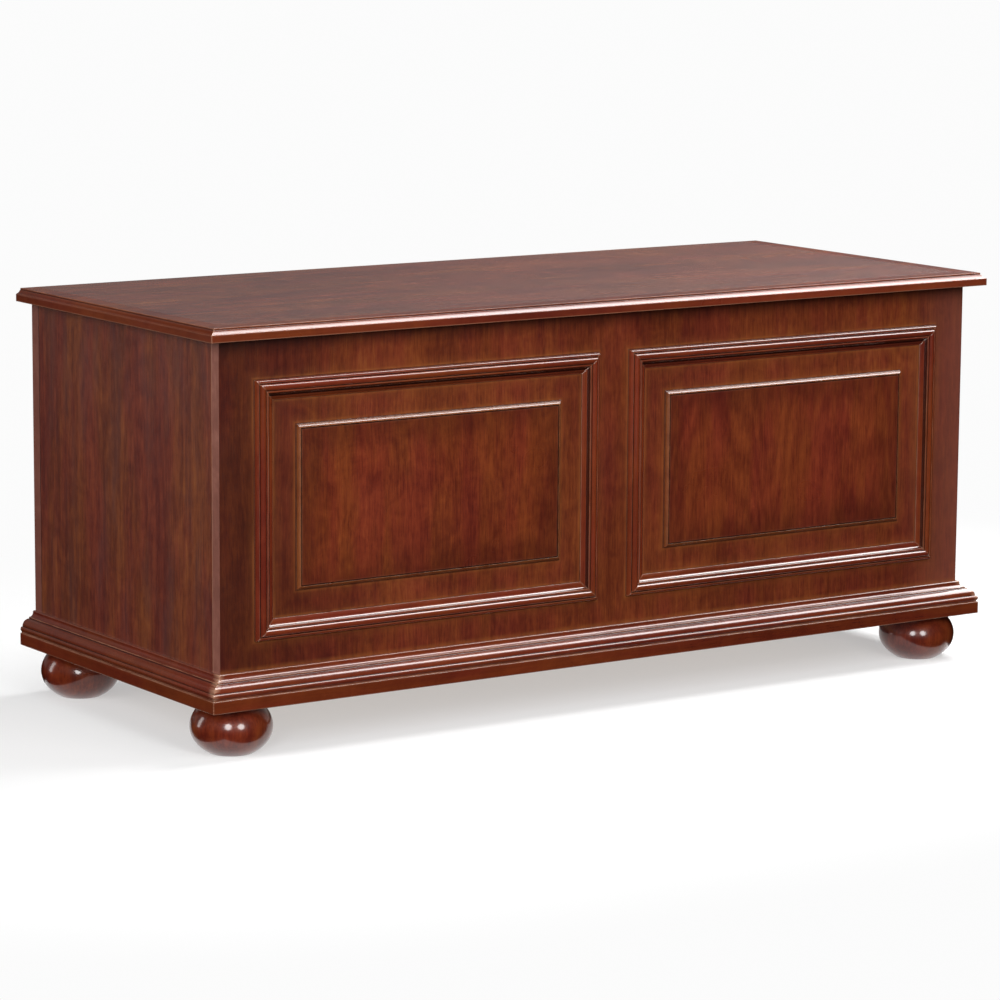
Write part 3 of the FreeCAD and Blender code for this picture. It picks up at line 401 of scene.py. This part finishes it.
def field_veneer(side, seed, gain, figure, mottle):
    """The raised field: vertical figure, a rubbed golden border and a dark quirk."""
    s = Shader(f"field_{side}_veneer")
    grain = s.attribute("grain", "Vector")
    tone, relief = wood_tone(s, grain, seed, figure, mottle, streak=0.26, broad=0.26)
    colour = wood_colour(s, tone, gain, grain, 1.05)
    z, x, _ = s.parts(grain)
    from_rim = s.times(box_gap(s, x, z, *FIELDS[side]), -1.0)
    cloud = s.times(s.noise(grain, (14.0, 14.0, 14.0), 3.0, 0.6), 0.05)
    dusk = s.span(s.math("ADD", from_rim, cloud), 0.028, 0.085, 0.34, 0.0)
    colour = s.blend(dusk, colour, GLAZE_AND_SHADE)
    rubbed = s.noise(grain, (60.0, 60.0, 60.0), 3.0, 0.65)
    border = s.times(s.attribute("border", "Fac"), s.span(rubbed, 0.25, 0.6, 0.5, 1.0))
    colour = s.blend(s.times(border, 0.40), colour, HALO)
    colour = s.blend(s.times(s.attribute("glaze_and_shade", "Fac"), 0.95), colour, GLAZE_AND_SHADE)
    worn = s.times(s.attribute("wear", "Fac"), s.span(rubbed, 0.34, 0.60, 0.3, 1.0))
    colour = s.blend(s.times(worn, 0.12), colour, BEIGE)
    return lacquer(s, colour, relief, grain, rough=0.30, coat_rough=0.12, shine=0.4)


def foot_wood():
    """Turned wood with broad dark and light patches, under a glossier lacquer."""
    s = Shader("foot_wood")
    grain = s.attribute("grain", "Vector")
    tone, relief = wood_tone(s, grain, 6.0, mottle=0.5, streak=0.5, broad=0.8)
    colour = wood_colour(s, tone, (0.95, 0.80, 0.80), grain)
    return lacquer(s, colour, relief, grain, rough=0.30, coat_rough=0.12, depth=0.00001)


def bare_wood():
    """Planed wood with no finish."""
    s = Shader("bare_wood")
    grain = s.place()
    tone, relief = wood_tone(s, grain, 8.0, figure=0.08)
    colour = s.ramp(tone, [(0.1, (0.27, 0.150, 0.070)), (0.5, (0.42, 0.262, 0.135)),
                           (0.9, (0.55, 0.37, 0.21))])
    roughness = s.math("MULTIPLY_ADD", s.noise(grain, (20, 20, 20), 2.0), 0.1, 0.55)
    return s.finish(colour, roughness, relief, 0.00008, Specular_IOR_Level=0.35)


def metal(name, light, dark, rough, brushed):
    """Plated or bare metal with fine scratches and dull patches."""
    s = Shader(name)
    where = s.place()
    scratch = s.noise(where, brushed, 3.0, 0.65)
    dull = s.noise(where, (70.0, 70.0, 70.0), 4.0, 0.6)
    colour = s.blend(s.span(dull, 0.35, 0.70), (*light, 1), (*dark, 1))
    roughness = s.math("ADD", s.math("MULTIPLY_ADD", scratch, 0.20, rough - 0.10),
                       s.times(s.span(dull, 0.4, 0.75), 0.12))
    return s.finish(colour, roughness, scratch, 0.00003, Metallic=1.0)


# ---------------------------------------------------------------- profiles and swept mouldings

ARC_STEP = 0.2
POINT_GAP = 1.1
ARRIS_TURN = math.radians(20)
SHARP_TURN = math.radians(48)
MARK_SPREAD = 0.55
CUT_INSET = 0.16
MITRE_SLOPE = 0.5
RING_GAPS = (0.0, 0.25, 0.9, 2.2, 4.6, 9.0, 15.0, 24.0)
RING_SPACING = 70


def arc_points(start, stop, bend):
    """Points after the start and before the stop of an arc that bulges left (over 0) or right."""
    chord = stop - start
    half = chord.length / 2
    radius = max(abs(bend), half * 1.0001)
    left = Vector((-chord.y, chord.x)).normalized()
    centre = (start + stop) / 2 - left * math.copysign(math.sqrt(radius ** 2 - half ** 2), bend)
    first = math.atan2(start.y - centre.y, start.x - centre.x)
    swing = math.atan2(stop.y - centre.y, stop.x - centre.x) - first
    swing = (swing + math.pi) % (2 * math.pi) - math.pi
    count = max(5, math.ceil(radius * abs(swing) / ARC_STEP))
    turns = [first + swing * i / count for i in range(1, count)]
    return [centre + radius * Vector((math.cos(turn), math.sin(turn))) for turn in turns]


def turn_at(before, here, after):
    """The turn of an outline at a point, over 0 where it turns left."""
    a, b = here - before, after - here
    return math.atan2(a.x * b.y - a.y * b.x, a.dot(b))


def eased(before, here, after, reach, shares):
    """Points round a corner, on a curve that starts and ends no further from it than reach."""
    reach = min(reach, 0.4 * (here - before).length, 0.4 * (after - here).length)
    first = here + (before - here).normalized() * reach
    last = here + (after - here).normalized() * reach
    return [(1 - t) ** 2 * first + 2 * t * (1 - t) * here + t ** 2 * last for t in shares]


def limited(value):
    """A value kept between 0 and 1."""
    return min(max(value, 0.0), 1.0)


def profile_points(corners, radius):
    """A closed outline with arcs drawn, corners softened and no long gaps between points.

    A corner is (across, up), or (across, up, radius) where an arc leads from it to the next.
    """
    raw = []
    for index, corner in enumerate(corners):
        start = Vector(corner[:2])
        stop = Vector(corners[(index + 1) % len(corners)][:2])
        raw.append(start)
        if len(corner) > 2 and corner[2]:
            raw.extend(arc_points(start, stop, corner[2]))
    soft = []
    for index, here in enumerate(raw):
        before, after = raw[index - 1], raw[(index + 1) % len(raw)]
        turn = abs(turn_at(before, here, after))
        if turn < ARRIS_TURN:
            soft.append(here)
        else:
            soft.extend(eased(before, here, after, radius * math.tan(turn / 2),
                              (0.0, 0.25, 0.5, 0.75, 1.0)))
    out = []
    for index, here in enumerate(soft):
        after = soft[(index + 1) % len(soft)]
        pieces = max(1, math.ceil((after - here).length / POINT_GAP))
        out.extend(here.lerp(after, i / pieces) for i in range(pieces))
    return out


def edge_marks(points):
    """For each point of an outline: how far it is on an arris, how far in a quirk, and its run."""
    count = len(points)
    turns = [turn_at(points[i - 1], points[i], points[(i + 1) % count]) for i in range(count)]
    run = [0.0]
    for i in range(1, count):
        run.append(run[-1] + (points[i] - points[i - 1]).length)
    total = run[-1] + (points[0] - points[-1]).length
    wear, glaze_and_shade = [], []
    for i in range(count):
        bend = 0.0
        for j in range(count):
            gap = abs(run[i] - run[j])
            gap = min(gap, total - gap)
            if gap < 3 * MARK_SPREAD:
                bend += turns[j] * math.exp(-(gap / MARK_SPREAD) ** 2)
        wear.append(limited((bend - 0.40) / 0.9))
        glaze_and_shade.append(limited((-bend - 0.30) / 0.8))
    return wear, glaze_and_shade, run


def shrunk(points, inset):
    """An outline moved inwards."""
    out = []
    for index, here in enumerate(points):
        way = points[(index + 1) % len(points)] - points[index - 1]
        out.append(here + Vector((-way.y, way.x)).normalized() * inset)
    return out


def mesh_piece(name, verts, faces, marks, material, body, nodes):
    """A finished piece: its mesh, its marks, its material and the body it rides on."""
    mesh = bpy.data.meshes.new(name)
    mesh.from_pydata([tuple(v) for v in verts], [], faces)
    for key, values in marks.items():
        if key == "grain":
            layer = mesh.attributes.new(key, "FLOAT_VECTOR", "POINT")
            layer.data.foreach_set("vector", [c for v in values for c in v])
        else:
            layer = mesh.attributes.new(key, "FLOAT", "POINT")
            layer.data.foreach_set("value", values)
    volume = 0.0
    for face in faces:
        a = Vector(verts[face[0]])
        for i in range(1, len(face) - 1):
            volume += a.dot(Vector(verts[face[i]]).cross(Vector(verts[face[i + 1]])))
    if volume < 0:
        mesh.flip_normals()
    mesh.shade_smooth()
    mesh.set_sharp_from_angle(angle=SHARP_TURN)
    piece = bpy.data.objects.new(name, mesh)
    scene.collection.objects.link(piece)
    mesh.materials.append(material)
    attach(piece, body)
    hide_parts(*nodes)
    return piece


def sweep(node, corners, at, along, across, up, start, end, material, body="case",
          radius=0.35, seed=0.0, dark=(), reach=1.2):
    """A moulding: an outline (across, up) run along a node's length between two plane cuts.

    start and end are (offset, slope): the cut lies at offset + slope * across from that end.
    radius softens the outline's corners. dark lists (low, high, depth): the stretches across the
    face that carry painted shade. reach is how far the wear runs from a mitre. All are in mm.
    """
    low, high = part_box(node)
    length = max(high - low) / MM
    points = profile_points(corners, radius)
    wear, glaze_and_shade, run = edge_marks(points)
    # Painted shade on the listed stretches, which takes the place of wear there.
    for low_u, high_u, depth in dark:
        for index, (u, h) in enumerate(points):
            if low_u <= u <= high_u and h > 0:
                glaze_and_shade[index] = max(glaze_and_shade[index], depth)
                wear[index] *= 1 - depth
    inset = shrunk(points, CUT_INSET)
    mitred = (abs(start[1]) > MITRE_SLOPE, abs(end[1]) > MITRE_SLOPE)
    steps = [(0, gap) for gap in RING_GAPS]
    middle = max(6, round(length / RING_SPACING))
    steps += [(None, i / middle) for i in range(1, middle)]
    steps += [(1, gap) for gap in reversed(RING_GAPS)]
    verts, marks = [], {"wear": [], "glaze_and_shade": [], "mitre": [], "grain": []}
    for which, value in steps:
        cut = which is not None and value == 0.0
        ring = inset if cut else points
        for index, (u, h) in enumerate(ring):
            low = start[0] + start[1] * u
            high = length + end[0] + end[1] * u
            if which is None:
                s = low + (high - low) * value
            else:
                s = low + value if which == 0 else high - value
            verts.append((at + along * s + across * u + up * h) * MM)
            at_mitre = which is not None and mitred[which]
            marks["wear"].append(wear[index])
            marks["glaze_and_shade"].append(glaze_and_shade[index])
            marks["mitre"].append(max(0.0, 1.0 - value / reach) if at_mitre else 0.0)
            marks["grain"].append((s * MM + seed, run[index] * MM + seed * 0.37, seed))
    count = len(points)
    faces = []
    for ring in range(len(steps) - 1):
        for i in range(count):
            j = (i + 1) % count
            here, after = ring * count, (ring + 1) * count
            faces.append((here + i, here + j, after + j, after + i))
    faces.append(tuple(reversed(range(count))))
    faces.append(tuple(range((len(steps) - 1) * count, len(steps) * count)))
    mesh_piece(f"{node}_moulded", verts, faces, marks, material, body, [node])


REACH, HIGH = 22.8, 28.0
BASE_PROFILE = [(0, 0), (REACH - 1.6, 0), (REACH - 1.6, 1.4), (REACH - 1.4, 2, -3.7),
                (REACH - 1.4, 7.8), (REACH - 3, 8.2), (REACH - 3, 9.2, -9.2),
                (REACH - 12.4, 17.8), (REACH - 12.8, 18.1), (REACH - 12.8, HIGH - 8.1),
                (REACH - 13.4, HIGH - 8.1, 5.6), (REACH - 18.6, HIGH - 2.9),
                (REACH - 18.6, HIGH - 1.8, -1.9), (REACH - 20.2, HIGH), (0, HIGH)]
FRAME_PROFILE = [(0, 0), (WIDE, 0), (WIDE, 0.9), (WIDE - 1.2, 1.5, -9),
                 (WIDE - 5.4, PROUD - 6.8, 6), (WIDE - 9.2, PROUD - 2.7),
                 (WIDE - 11.6, PROUD - 2.7), (WIDE - 11.9, PROUD - 3.3),
                 (WIDE - 12.5, PROUD - 3.3), (WIDE - 12.6, PROUD - 2.4, -4.4), (5.6, PROUD - 2.6),
                 (5.2, PROUD - 4), (4.5, PROUD - 4), (4.1, PROUD - 3.3, -4.0), (0, PROUD - 6.6)]
# Painted shade on the frames' steep inner slopes: full on the top strips, which face down, less on
# the side strips, and faint on the bottom strips, which face up.
FRAME_SLOPE_SHADE = {"top": [(WIDE - 9.4, WIDE - 5.0, 1.0), (WIDE - 5.0, WIDE - 1.6, 0.45)],
               "bottom": [(WIDE - 9.0, WIDE - 7.0, 0.4)]}
SIDE_SLOPE_SHADE = [(WIDE - 9.2, WIDE - 6.4, 0.85)]
LID_PROFILE = [(0, 0), (30, 0), (30, 17), (6.5, 17), (6.5, 14.5), (5.7, 14.3, 7),
               (1.3, 10.2, -1.8), (0, 8.9)]
RAIL_PROFILE = [(0, 0), (92, 0), (92, 16), (0, 16)]

MITRE_IN, MITRE_OUT, SQUARE = (0, 1), (0, -1), (0, 0)
OUTER_START, OUTER_END = (REACH, -1), (-REACH, 1)

# Node, corner of its box, along, across, cut at the start, cut at the end, seed, reach of the wear.
BASE_MOULDINGS = (
    ("base_moulding_front", (1, 1, 0), -X, -Y, OUTER_START, OUTER_END, 7.1, 8.0),
    ("base_moulding_left", (1, 0, 0), Y, -X, OUTER_START, SQUARE, 7.9, 15.0),
    ("base_moulding_right", (0, 1, 0), -Y, X, SQUARE, OUTER_END, 8.7, 10.0))
# Node, corner of its box, along, across, cut at the start, cut at the end, seed.
LID_EDGES = (
    ("lid_edge_front", (0, 0, 0), X, Y, MITRE_IN, MITRE_OUT, 9.3),
    ("lid_edge_left", (0, 1, 0), -Y, X, SQUARE, MITRE_OUT, 10.1),
    ("lid_edge_right", (1, 0, 0), Y, -X, MITRE_IN, SQUARE, 10.9))
BASE_RAILS = (
    ("base_rail_front", (0, 0, 0), X, Y, MITRE_IN, MITRE_OUT, 11.7),
    ("base_rail_left", (0, 1, 0), -Y, X, SQUARE, MITRE_OUT, 12.3),
    ("base_rail_right", (1, 0, 0), Y, -X, MITRE_IN, SQUARE, 13.1),
    ("base_rail_back", (1, 1, 0), -X, -Y, SQUARE, SQUARE, 13.9))


def corner_of(node, picks):
    """A corner of a node's box in mm. A pick of 0 is the low side of its axis, and 1 the high."""
    low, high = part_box(node)
    return Vector([(high if pick else low)[axis] / MM for axis, pick in enumerate(picks)])


def frame_line(side, part):
    """Where a frame strip's outline starts, the way it runs and the way it faces, inwards."""
    if part == "top":
        return (1, 1, 1), -X, -Z
    if part == "bottom":
        return (0, 1, 0), X, Z
    if (part == "outer") == (side == "left"):
        return (0, 1, 1), -Z, X
    return (1, 1, 0), Z, -X


def build_mouldings():
    """The frames, the base mouldings, the lid's edges and the base rails."""
    frame_wood = moulding_wood("frame_wood", 2.0, (1.10, 1.02, 1.0), rough=0.20, coat_rough=0.08,
                               mitre=0.35)
    base_wood = moulding_wood("base_wood", 3.0, (0.95, 0.90, 0.9), wear=0.7, mitre=0.75, coat=0.72)
    rail_wood = moulding_wood("base_rail_wood", 3.4, (0.93, 0.85, 0.80), wear=0.6)
    edge_wood = moulding_wood("lid_edge_wood", 5.0, (0.95, 0.9, 0.9), rough=0.30, coat=0.50,
                              top=True)
    seed = 0.0
    for side in SIDES:
        for part in FRAME_PARTS:
            node = f"frame_{side}_{part}"
            seed += 0.53
            corner, along, across = frame_line(side, part)
            sweep(node, FRAME_PROFILE, corner_of(node, corner), along, across, -Y, MITRE_IN,
                  MITRE_OUT, frame_wood, radius=0.3, seed=seed,
                  dark=FRAME_SLOPE_SHADE.get(part, SIDE_SLOPE_SHADE))
    for node, corner, along, across, start, end, seed, reach in BASE_MOULDINGS:
        sweep(node, BASE_PROFILE, corner_of(node, corner), along, across, Z, start, end,
              base_wood, seed=seed, reach=reach)
    for node, corner, along, across, start, end, seed in LID_EDGES:
        sweep(node, LID_PROFILE, corner_of(node, corner), along, across, Z, start, end,
              edge_wood, "lid", seed=seed)
    for node, corner, along, across, start, end, seed in BASE_RAILS:
        sweep(node, RAIL_PROFILE, corner_of(node, corner), along, across, Z, start, end,
              rail_wood, radius=0.7, seed=seed)


# ---------------------------------------------------------------- raised fields

FIELD_PROFILE = [(0, 0), (0, 0.9), (0.9, 0.9, 5.5), (4.7, 5.0), (5.0, 5.0), (5.2, 3.5),
                 (6.2, 3.5), (6.4, 5.0)]
FIELD_SPREAD = 0.5
FIELD_EASE = 0.2


def raised_field(side, material):
    """A rectangular raised field: lip, rounded slope, quirk and flat face, as one board.

    The slopes of neighbouring sides meet in a sharp line, as they do off a router or a plane.
    """
    low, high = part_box(f"field_{side}")
    line = []
    for corner, after in zip(FIELD_PROFILE, FIELD_PROFILE[1:]):
        line.append(Vector(corner[:2]))
        if len(corner) > 2:
            line.extend(arc_points(Vector(corner[:2]), Vector(after[:2]), corner[2]))
    line.append(Vector(FIELD_PROFILE[-1]))
    soft = [line[0]]
    for before, here, after in zip(line, line[1:], line[2:]):
        if abs(turn_at(before, here, after)) < ARRIS_TURN:
            soft.append(here)
        else:
            soft.extend(eased(before, here, after, FIELD_EASE, (0.0, 0.33, 0.67, 1.0)))
    soft.extend(line[-1] + Vector((inward, 0)) for inward in (0.0, 0.5, 2.5))
    verts, marks = [], {"wear": [], "glaze_and_shade": [], "border": [], "grain": []}
    for index, (u, h) in enumerate(soft):
        bend = 0.0
        for j in range(1, len(soft) - 1):
            gap = (soft[j] - soft[index]).length
            if gap < 3 * FIELD_SPREAD:
                turn = turn_at(soft[j - 1], soft[j], soft[j + 1])
                bend -= turn * math.exp(-(gap / FIELD_SPREAD) ** 2)
        in_quirk = 5.0 <= u <= 6.35 and h < 4.9
        inset = u * MM
        y = high.y - h * MM
        for x, z in ((low.x + inset, low.z + inset), (high.x - inset, low.z + inset),
                     (high.x - inset, high.z - inset), (low.x + inset, high.z - inset)):
            verts.append((x, y, z))
            marks["wear"].append(limited((bend - 0.3) / 0.9))
            marks["glaze_and_shade"].append(1.0 if in_quirk else limited((-bend - 0.3) / 0.9))
            marks["border"].append(1.0 if 0.8 < u < 5.05 else 0.0)
            marks["grain"].append((z, x, y))
    rings = len(soft)
    faces = [(3, 2, 1, 0)]
    for ring in range(rings - 1):
        for i in range(4):
            j = (i + 1) % 4
            faces.append((ring * 4 + i, ring * 4 + j, ring * 4 + 4 + j, ring * 4 + 4 + i))
    last = (rings - 1) * 4
    faces.append((last, last + 1, last + 2, last + 3))
    piece = mesh_piece(f"field_{side}_raised", verts, faces, marks, material, "case",
                       [f"field_{side}"])
    for edge in piece.data.edges:
        if abs(edge.vertices[0] - edge.vertices[1]) == 4:
            edge.use_edge_sharp = True


# ---------------------------------------------------------------- bun feet

BALL_HALF = 39.5 * MM
BALL_MIDDLE = 33.5 * MM
FOOT_EASE = 1.6 * MM
FOOT_RINGS = 56
FOOT_AROUND = 112


def bun_foot(node, material, seed):
    """A turned foot: a squashed ball with eased rims at its flat top and bottom."""
    low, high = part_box(node)
    centre = (low + high) / 2
    radius = (high.x - low.x) / 2
    tall = high.z - low.z
    ball = []
    for i in range(FOOT_RINGS + 1):
        share = (1 - math.cos(math.pi * i / FOOT_RINGS)) / 2
        z = FOOT_EASE * 0.4 + (tall - FOOT_EASE * 0.8) * share
        ball.append((radius * math.sqrt(1 - ((z - BALL_MIDDLE) / BALL_HALF) ** 2), z))
    under, over = ball[0][0], ball[-1][0]
    outline = [(0.0, 0.0), (under - FOOT_EASE, 0.0), (under - FOOT_EASE * 0.4, FOOT_EASE * 0.1),
               *ball, (over - FOOT_EASE * 0.4, tall - FOOT_EASE * 0.1), (over - FOOT_EASE, tall),
               (0.0, tall)]
    verts, faces, marks = [], [], {"grain": []}
    for r, z in outline:
        for k in range(FOOT_AROUND if r else 1):
            turn = 2 * math.pi * k / FOOT_AROUND
            x, y = r * math.cos(turn), r * math.sin(turn)
            verts.append((centre.x + x, centre.y + y, low.z + z))
            marks["grain"].append((z + seed, x + seed * 0.3, y))
    starts = [0]
    for r, _ in outline[:-1]:
        starts.append(starts[-1] + (FOOT_AROUND if r else 1))
    for a, b, (ra, _), (rb, _) in zip(starts, starts[1:], outline, outline[1:]):
        for k in range(FOOT_AROUND):
            j = (k + 1) % FOOT_AROUND
            if not ra:
                faces.append((a, b + j, b + k))
            elif not rb:
                faces.append((a + k, a + j, b))
            else:
                faces.append((a + k, a + j, b + j, b + k))
    mesh_piece(f"{node}_turned", verts, faces, marks, material, "case", [node])


# ---------------------------------------------------------------- the model's own nodes

def soften(node, width):
    """Ease a node's arrises with modifiers, leaving its mesh as it is."""
    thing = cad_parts[node]
    weld = thing.modifiers.new("weld", "WELD")
    weld.merge_threshold = 0.00001
    bevel = thing.modifiers.new("ease", "BEVEL")
    bevel.width = width * MM
    bevel.segments = 3
    bevel.limit_method = "ANGLE"
    bevel.angle_limit = math.radians(50)
    bevel.use_clamp_overlap = True
    bevel.miter_outer = "MITER_SHARP"
    normals = thing.modifiers.new("normals", "WEIGHTED_NORMAL")
    normals.keep_sharp = False
    normals.weight = 60


def dress(material, *nodes):
    """Give nodes a material."""
    for node in nodes:
        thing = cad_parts[node]
        for slot in thing.material_slots:
            slot.material = material


def dress_nodes():
    """Materials and eased arrises for the model's own nodes."""
    dress(front_veneer(), "front_board")
    dress(side_veneer(), "left_side", "right_side")
    dress(back_veneer(), "back_board")
    dress(lid_veneer(), "lid_panel")
    plain = bare_wood()
    brass = metal("hinge_brass", (0.72, 0.50, 0.22), (0.42, 0.27, 0.12), 0.32, (900.0, 60.0, 60.0))
    steel = metal("stay_steel", (0.62, 0.60, 0.57), (0.40, 0.39, 0.38), 0.34, (60.0, 700.0, 60.0))
    zinc = metal("hidden_steel", (0.60, 0.61, 0.63), (0.38, 0.39, 0.41), 0.40,
                 (200.0, 200.0, 200.0))
    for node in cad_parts:
        if node.startswith(("bottom_", "corner_post", "case_dowels", "foot_block")):
            dress(plain, node)
        elif node.startswith("hinge_"):
            dress(brass, node)
        elif node.startswith("stay_"):
            dress(steel, node)
        elif node in ("base_screws", "foot_tee_nuts", "foot_studs"):
            dress(zinc, node)
    for node in ("front_board", "back_board", "left_side", "right_side", "lid_panel"):
        soften(node, 0.8)
    for node in ("bottom_panel", "bottom_bearer"):
        soften(node, 1.0)


# ---------------------------------------------------------------- stage, light and camera

FLOOR_NEAR, FLOOR_FAR = (0.612, 0.259), (60.0, 60.0)
CORNERS = ((-1, -1), (1, -1), (1, 1), (-1, 1))


def floor_piece(name, material, faces):
    """One piece of the floor, on the corners of the near rectangle and of the far square."""
    verts = [(sx * x, sy * y, 0) for x, y in (FLOOR_NEAR, FLOOR_FAR) for sx, sy in CORNERS]
    mesh = bpy.data.meshes.new(name)
    mesh.from_pydata(verts, [], faces)
    mesh.materials.append(material)
    thing = bpy.data.objects.new(name, mesh)
    scene.collection.objects.link(thing)
    return thing


def floor():
    """A plain pale floor that brightens to white away from the chest."""
    s = Shader("floor")
    x, y, _ = s.parts(s.place())
    gap_x = s.math("MAXIMUM", s.math("SUBTRACT", s.math("ABSOLUTE", x), 0.61), 0.0)
    gap_y = s.math("MAXIMUM", s.math("SUBTRACT", s.math("ABSOLUTE", y), 0.257), 0.0)
    gap = s.math("SQRT", s.math("ADD", s.times(gap_x, gap_x), s.times(gap_y, gap_y)))
    tint = s.noise(s.place(), (3.0, 3.0, 3.0), 2.0)
    diffuse = s.node("ShaderNodeBsdfDiffuse", {"Color": s.blend(tint, (0.83, 0.83, 0.83, 1),
                                                                (0.85, 0.85, 0.85, 1))})
    glow = s.node("ShaderNodeEmission", {"Color": (0.97, 0.97, 0.97, 1), "Strength": 1.0})
    mixed = s.node("ShaderNodeMixShader", {0: s.span(gap, 0.0, 0.9, 0.45, 1.0), 1: diffuse,
                                           2: glow})
    out = s.tree.nodes.new("ShaderNodeOutputMaterial")
    s.tree.links.new(mixed, out.inputs[0])
    floor_piece("floor_near", s.material, [(0, 1, 2, 3)])
    far = floor_piece("floor_far", s.material,
                      [(4, 5, 1, 0), (5, 6, 2, 1), (6, 7, 3, 2), (7, 4, 0, 3)])
    far.visible_glossy = False
    far.visible_diffuse = False


def area_light(name, at, target, wide, tall, radiance, shape="RECTANGLE", shine=True, fill=True):
    """A soft box that faces a point, as bright as its radiance says.

    shine is whether mirror reflections see it, and fill whether it lights matt surfaces.
    """
    data = bpy.data.lights.new(name, "AREA")
    data.shape = shape
    data.size = wide
    data.size_y = tall
    face = wide * tall * (math.pi / 4 if shape == "ELLIPSE" else 1)
    data.energy = radiance * math.pi * face
    thing = bpy.data.objects.new(name, data)
    thing.location = at
    thing.rotation_euler = (Vector(target) - Vector(at)).to_track_quat("-Z", "Y").to_euler()
    thing.visible_camera = False
    thing.visible_glossy = shine
    thing.visible_diffuse = fill
    scene.collection.objects.link(thing)


def lights():
    """Soft boxes overhead, in front, at the left and behind, in an otherwise dark studio."""
    world = bpy.data.worlds.new("studio")
    scene.world = world
    world.use_nodes = True
    back = world.node_tree.nodes["Background"]
    back.inputs[0].default_value = (1.0, 1.0, 1.0, 1)
    back.inputs[1].default_value = 1.0
    world.cycles_visibility.glossy = False
    world.cycles_visibility.diffuse = False
    middle = (0.0, 0.0, 0.3)
    area_light("overhead", (1.4, 0.0, 2.5), (0.0, 0.0, 0.5), 2.3, 1.6, 11.0, shine=False)
    area_light("overhead_gloss", (1.4, -0.1, 2.5), (0.0, 0.0, 0.5), 2.8, 2.5, 11.5, fill=False)
    area_light("high_fill", (-1.4, -1.2, 2.9), middle, 2.6, 2.6, 1.0, shine=False)
    area_light("round_left", (-2.75, -2.9, 1.35), middle, 1.2, 1.75, 12.5, "ELLIPSE")
    area_light("round_right", (-0.7, -3.95, 1.35), middle, 1.2, 1.75, 12.5, "ELLIPSE")
    area_light("front_fill", (0.3, -3.9, 3.0), middle, 4.0, 2.4, 3.2, shine=False)
    area_light("left_fill", (-4.2, -0.6, 1.6), middle, 3.0, 2.4, 4.3, shine=False)
    area_light("strip_left", (-3.3, 2.2, 1.0), middle, 0.7, 2.0, 4.0)
    area_light("back_card", (0.8, 5.0, 1.6), (0.2, 0.0, 0.5), 9.0, 3.0, 0.13)


CAMERA_AT = (-3.0028, -4.4075, 1.1334)
YAW, PITCH, ROLL = 34.118, 9.516, 0.398
FILM_WIDE = 36.0
FOCAL_WIDTHS = 4.0166


def camera():
    """A long lens from the front left, a little above the lid."""
    yaw, pitch, roll = (math.radians(angle) for angle in (YAW, PITCH, ROLL))
    level = math.cos(pitch)
    ahead = Vector((math.sin(yaw) * level, math.cos(yaw) * level, -math.sin(pitch)))
    right = Vector((math.cos(yaw), -math.sin(yaw), 0))
    up = right.cross(ahead)
    turned_right = right * math.cos(roll) + up * math.sin(roll)
    turned_up = up * math.cos(roll) - right * math.sin(roll)
    data = bpy.data.cameras.new("camera")
    data.sensor_width = FILM_WIDE
    data.lens = FILM_WIDE * FOCAL_WIDTHS
    data.clip_end = 100.0
    thing = bpy.data.objects.new("camera", data)
    turn = Matrix((turned_right, turned_up, -ahead)).transposed().to_4x4()
    thing.matrix_world = Matrix.Translation(CAMERA_AT) @ turn
    scene.collection.objects.link(thing)
    scene.camera = thing


dress_nodes()
build_mouldings()
raised_field("left", field_veneer("left", 1.7, (1.10, 1.02, 1.0), 0.02, 0.42))
raised_field("right", field_veneer("right", 3.1, (1.12, 1.00, 1.05), 0.050, 0.18))
turned = foot_wood()
for number, foot in enumerate(("front_left", "front_right", "back_left", "back_right")):
    bun_foot(f"foot_{foot}", turned, 0.31 * number)
floor()
lights()
camera()
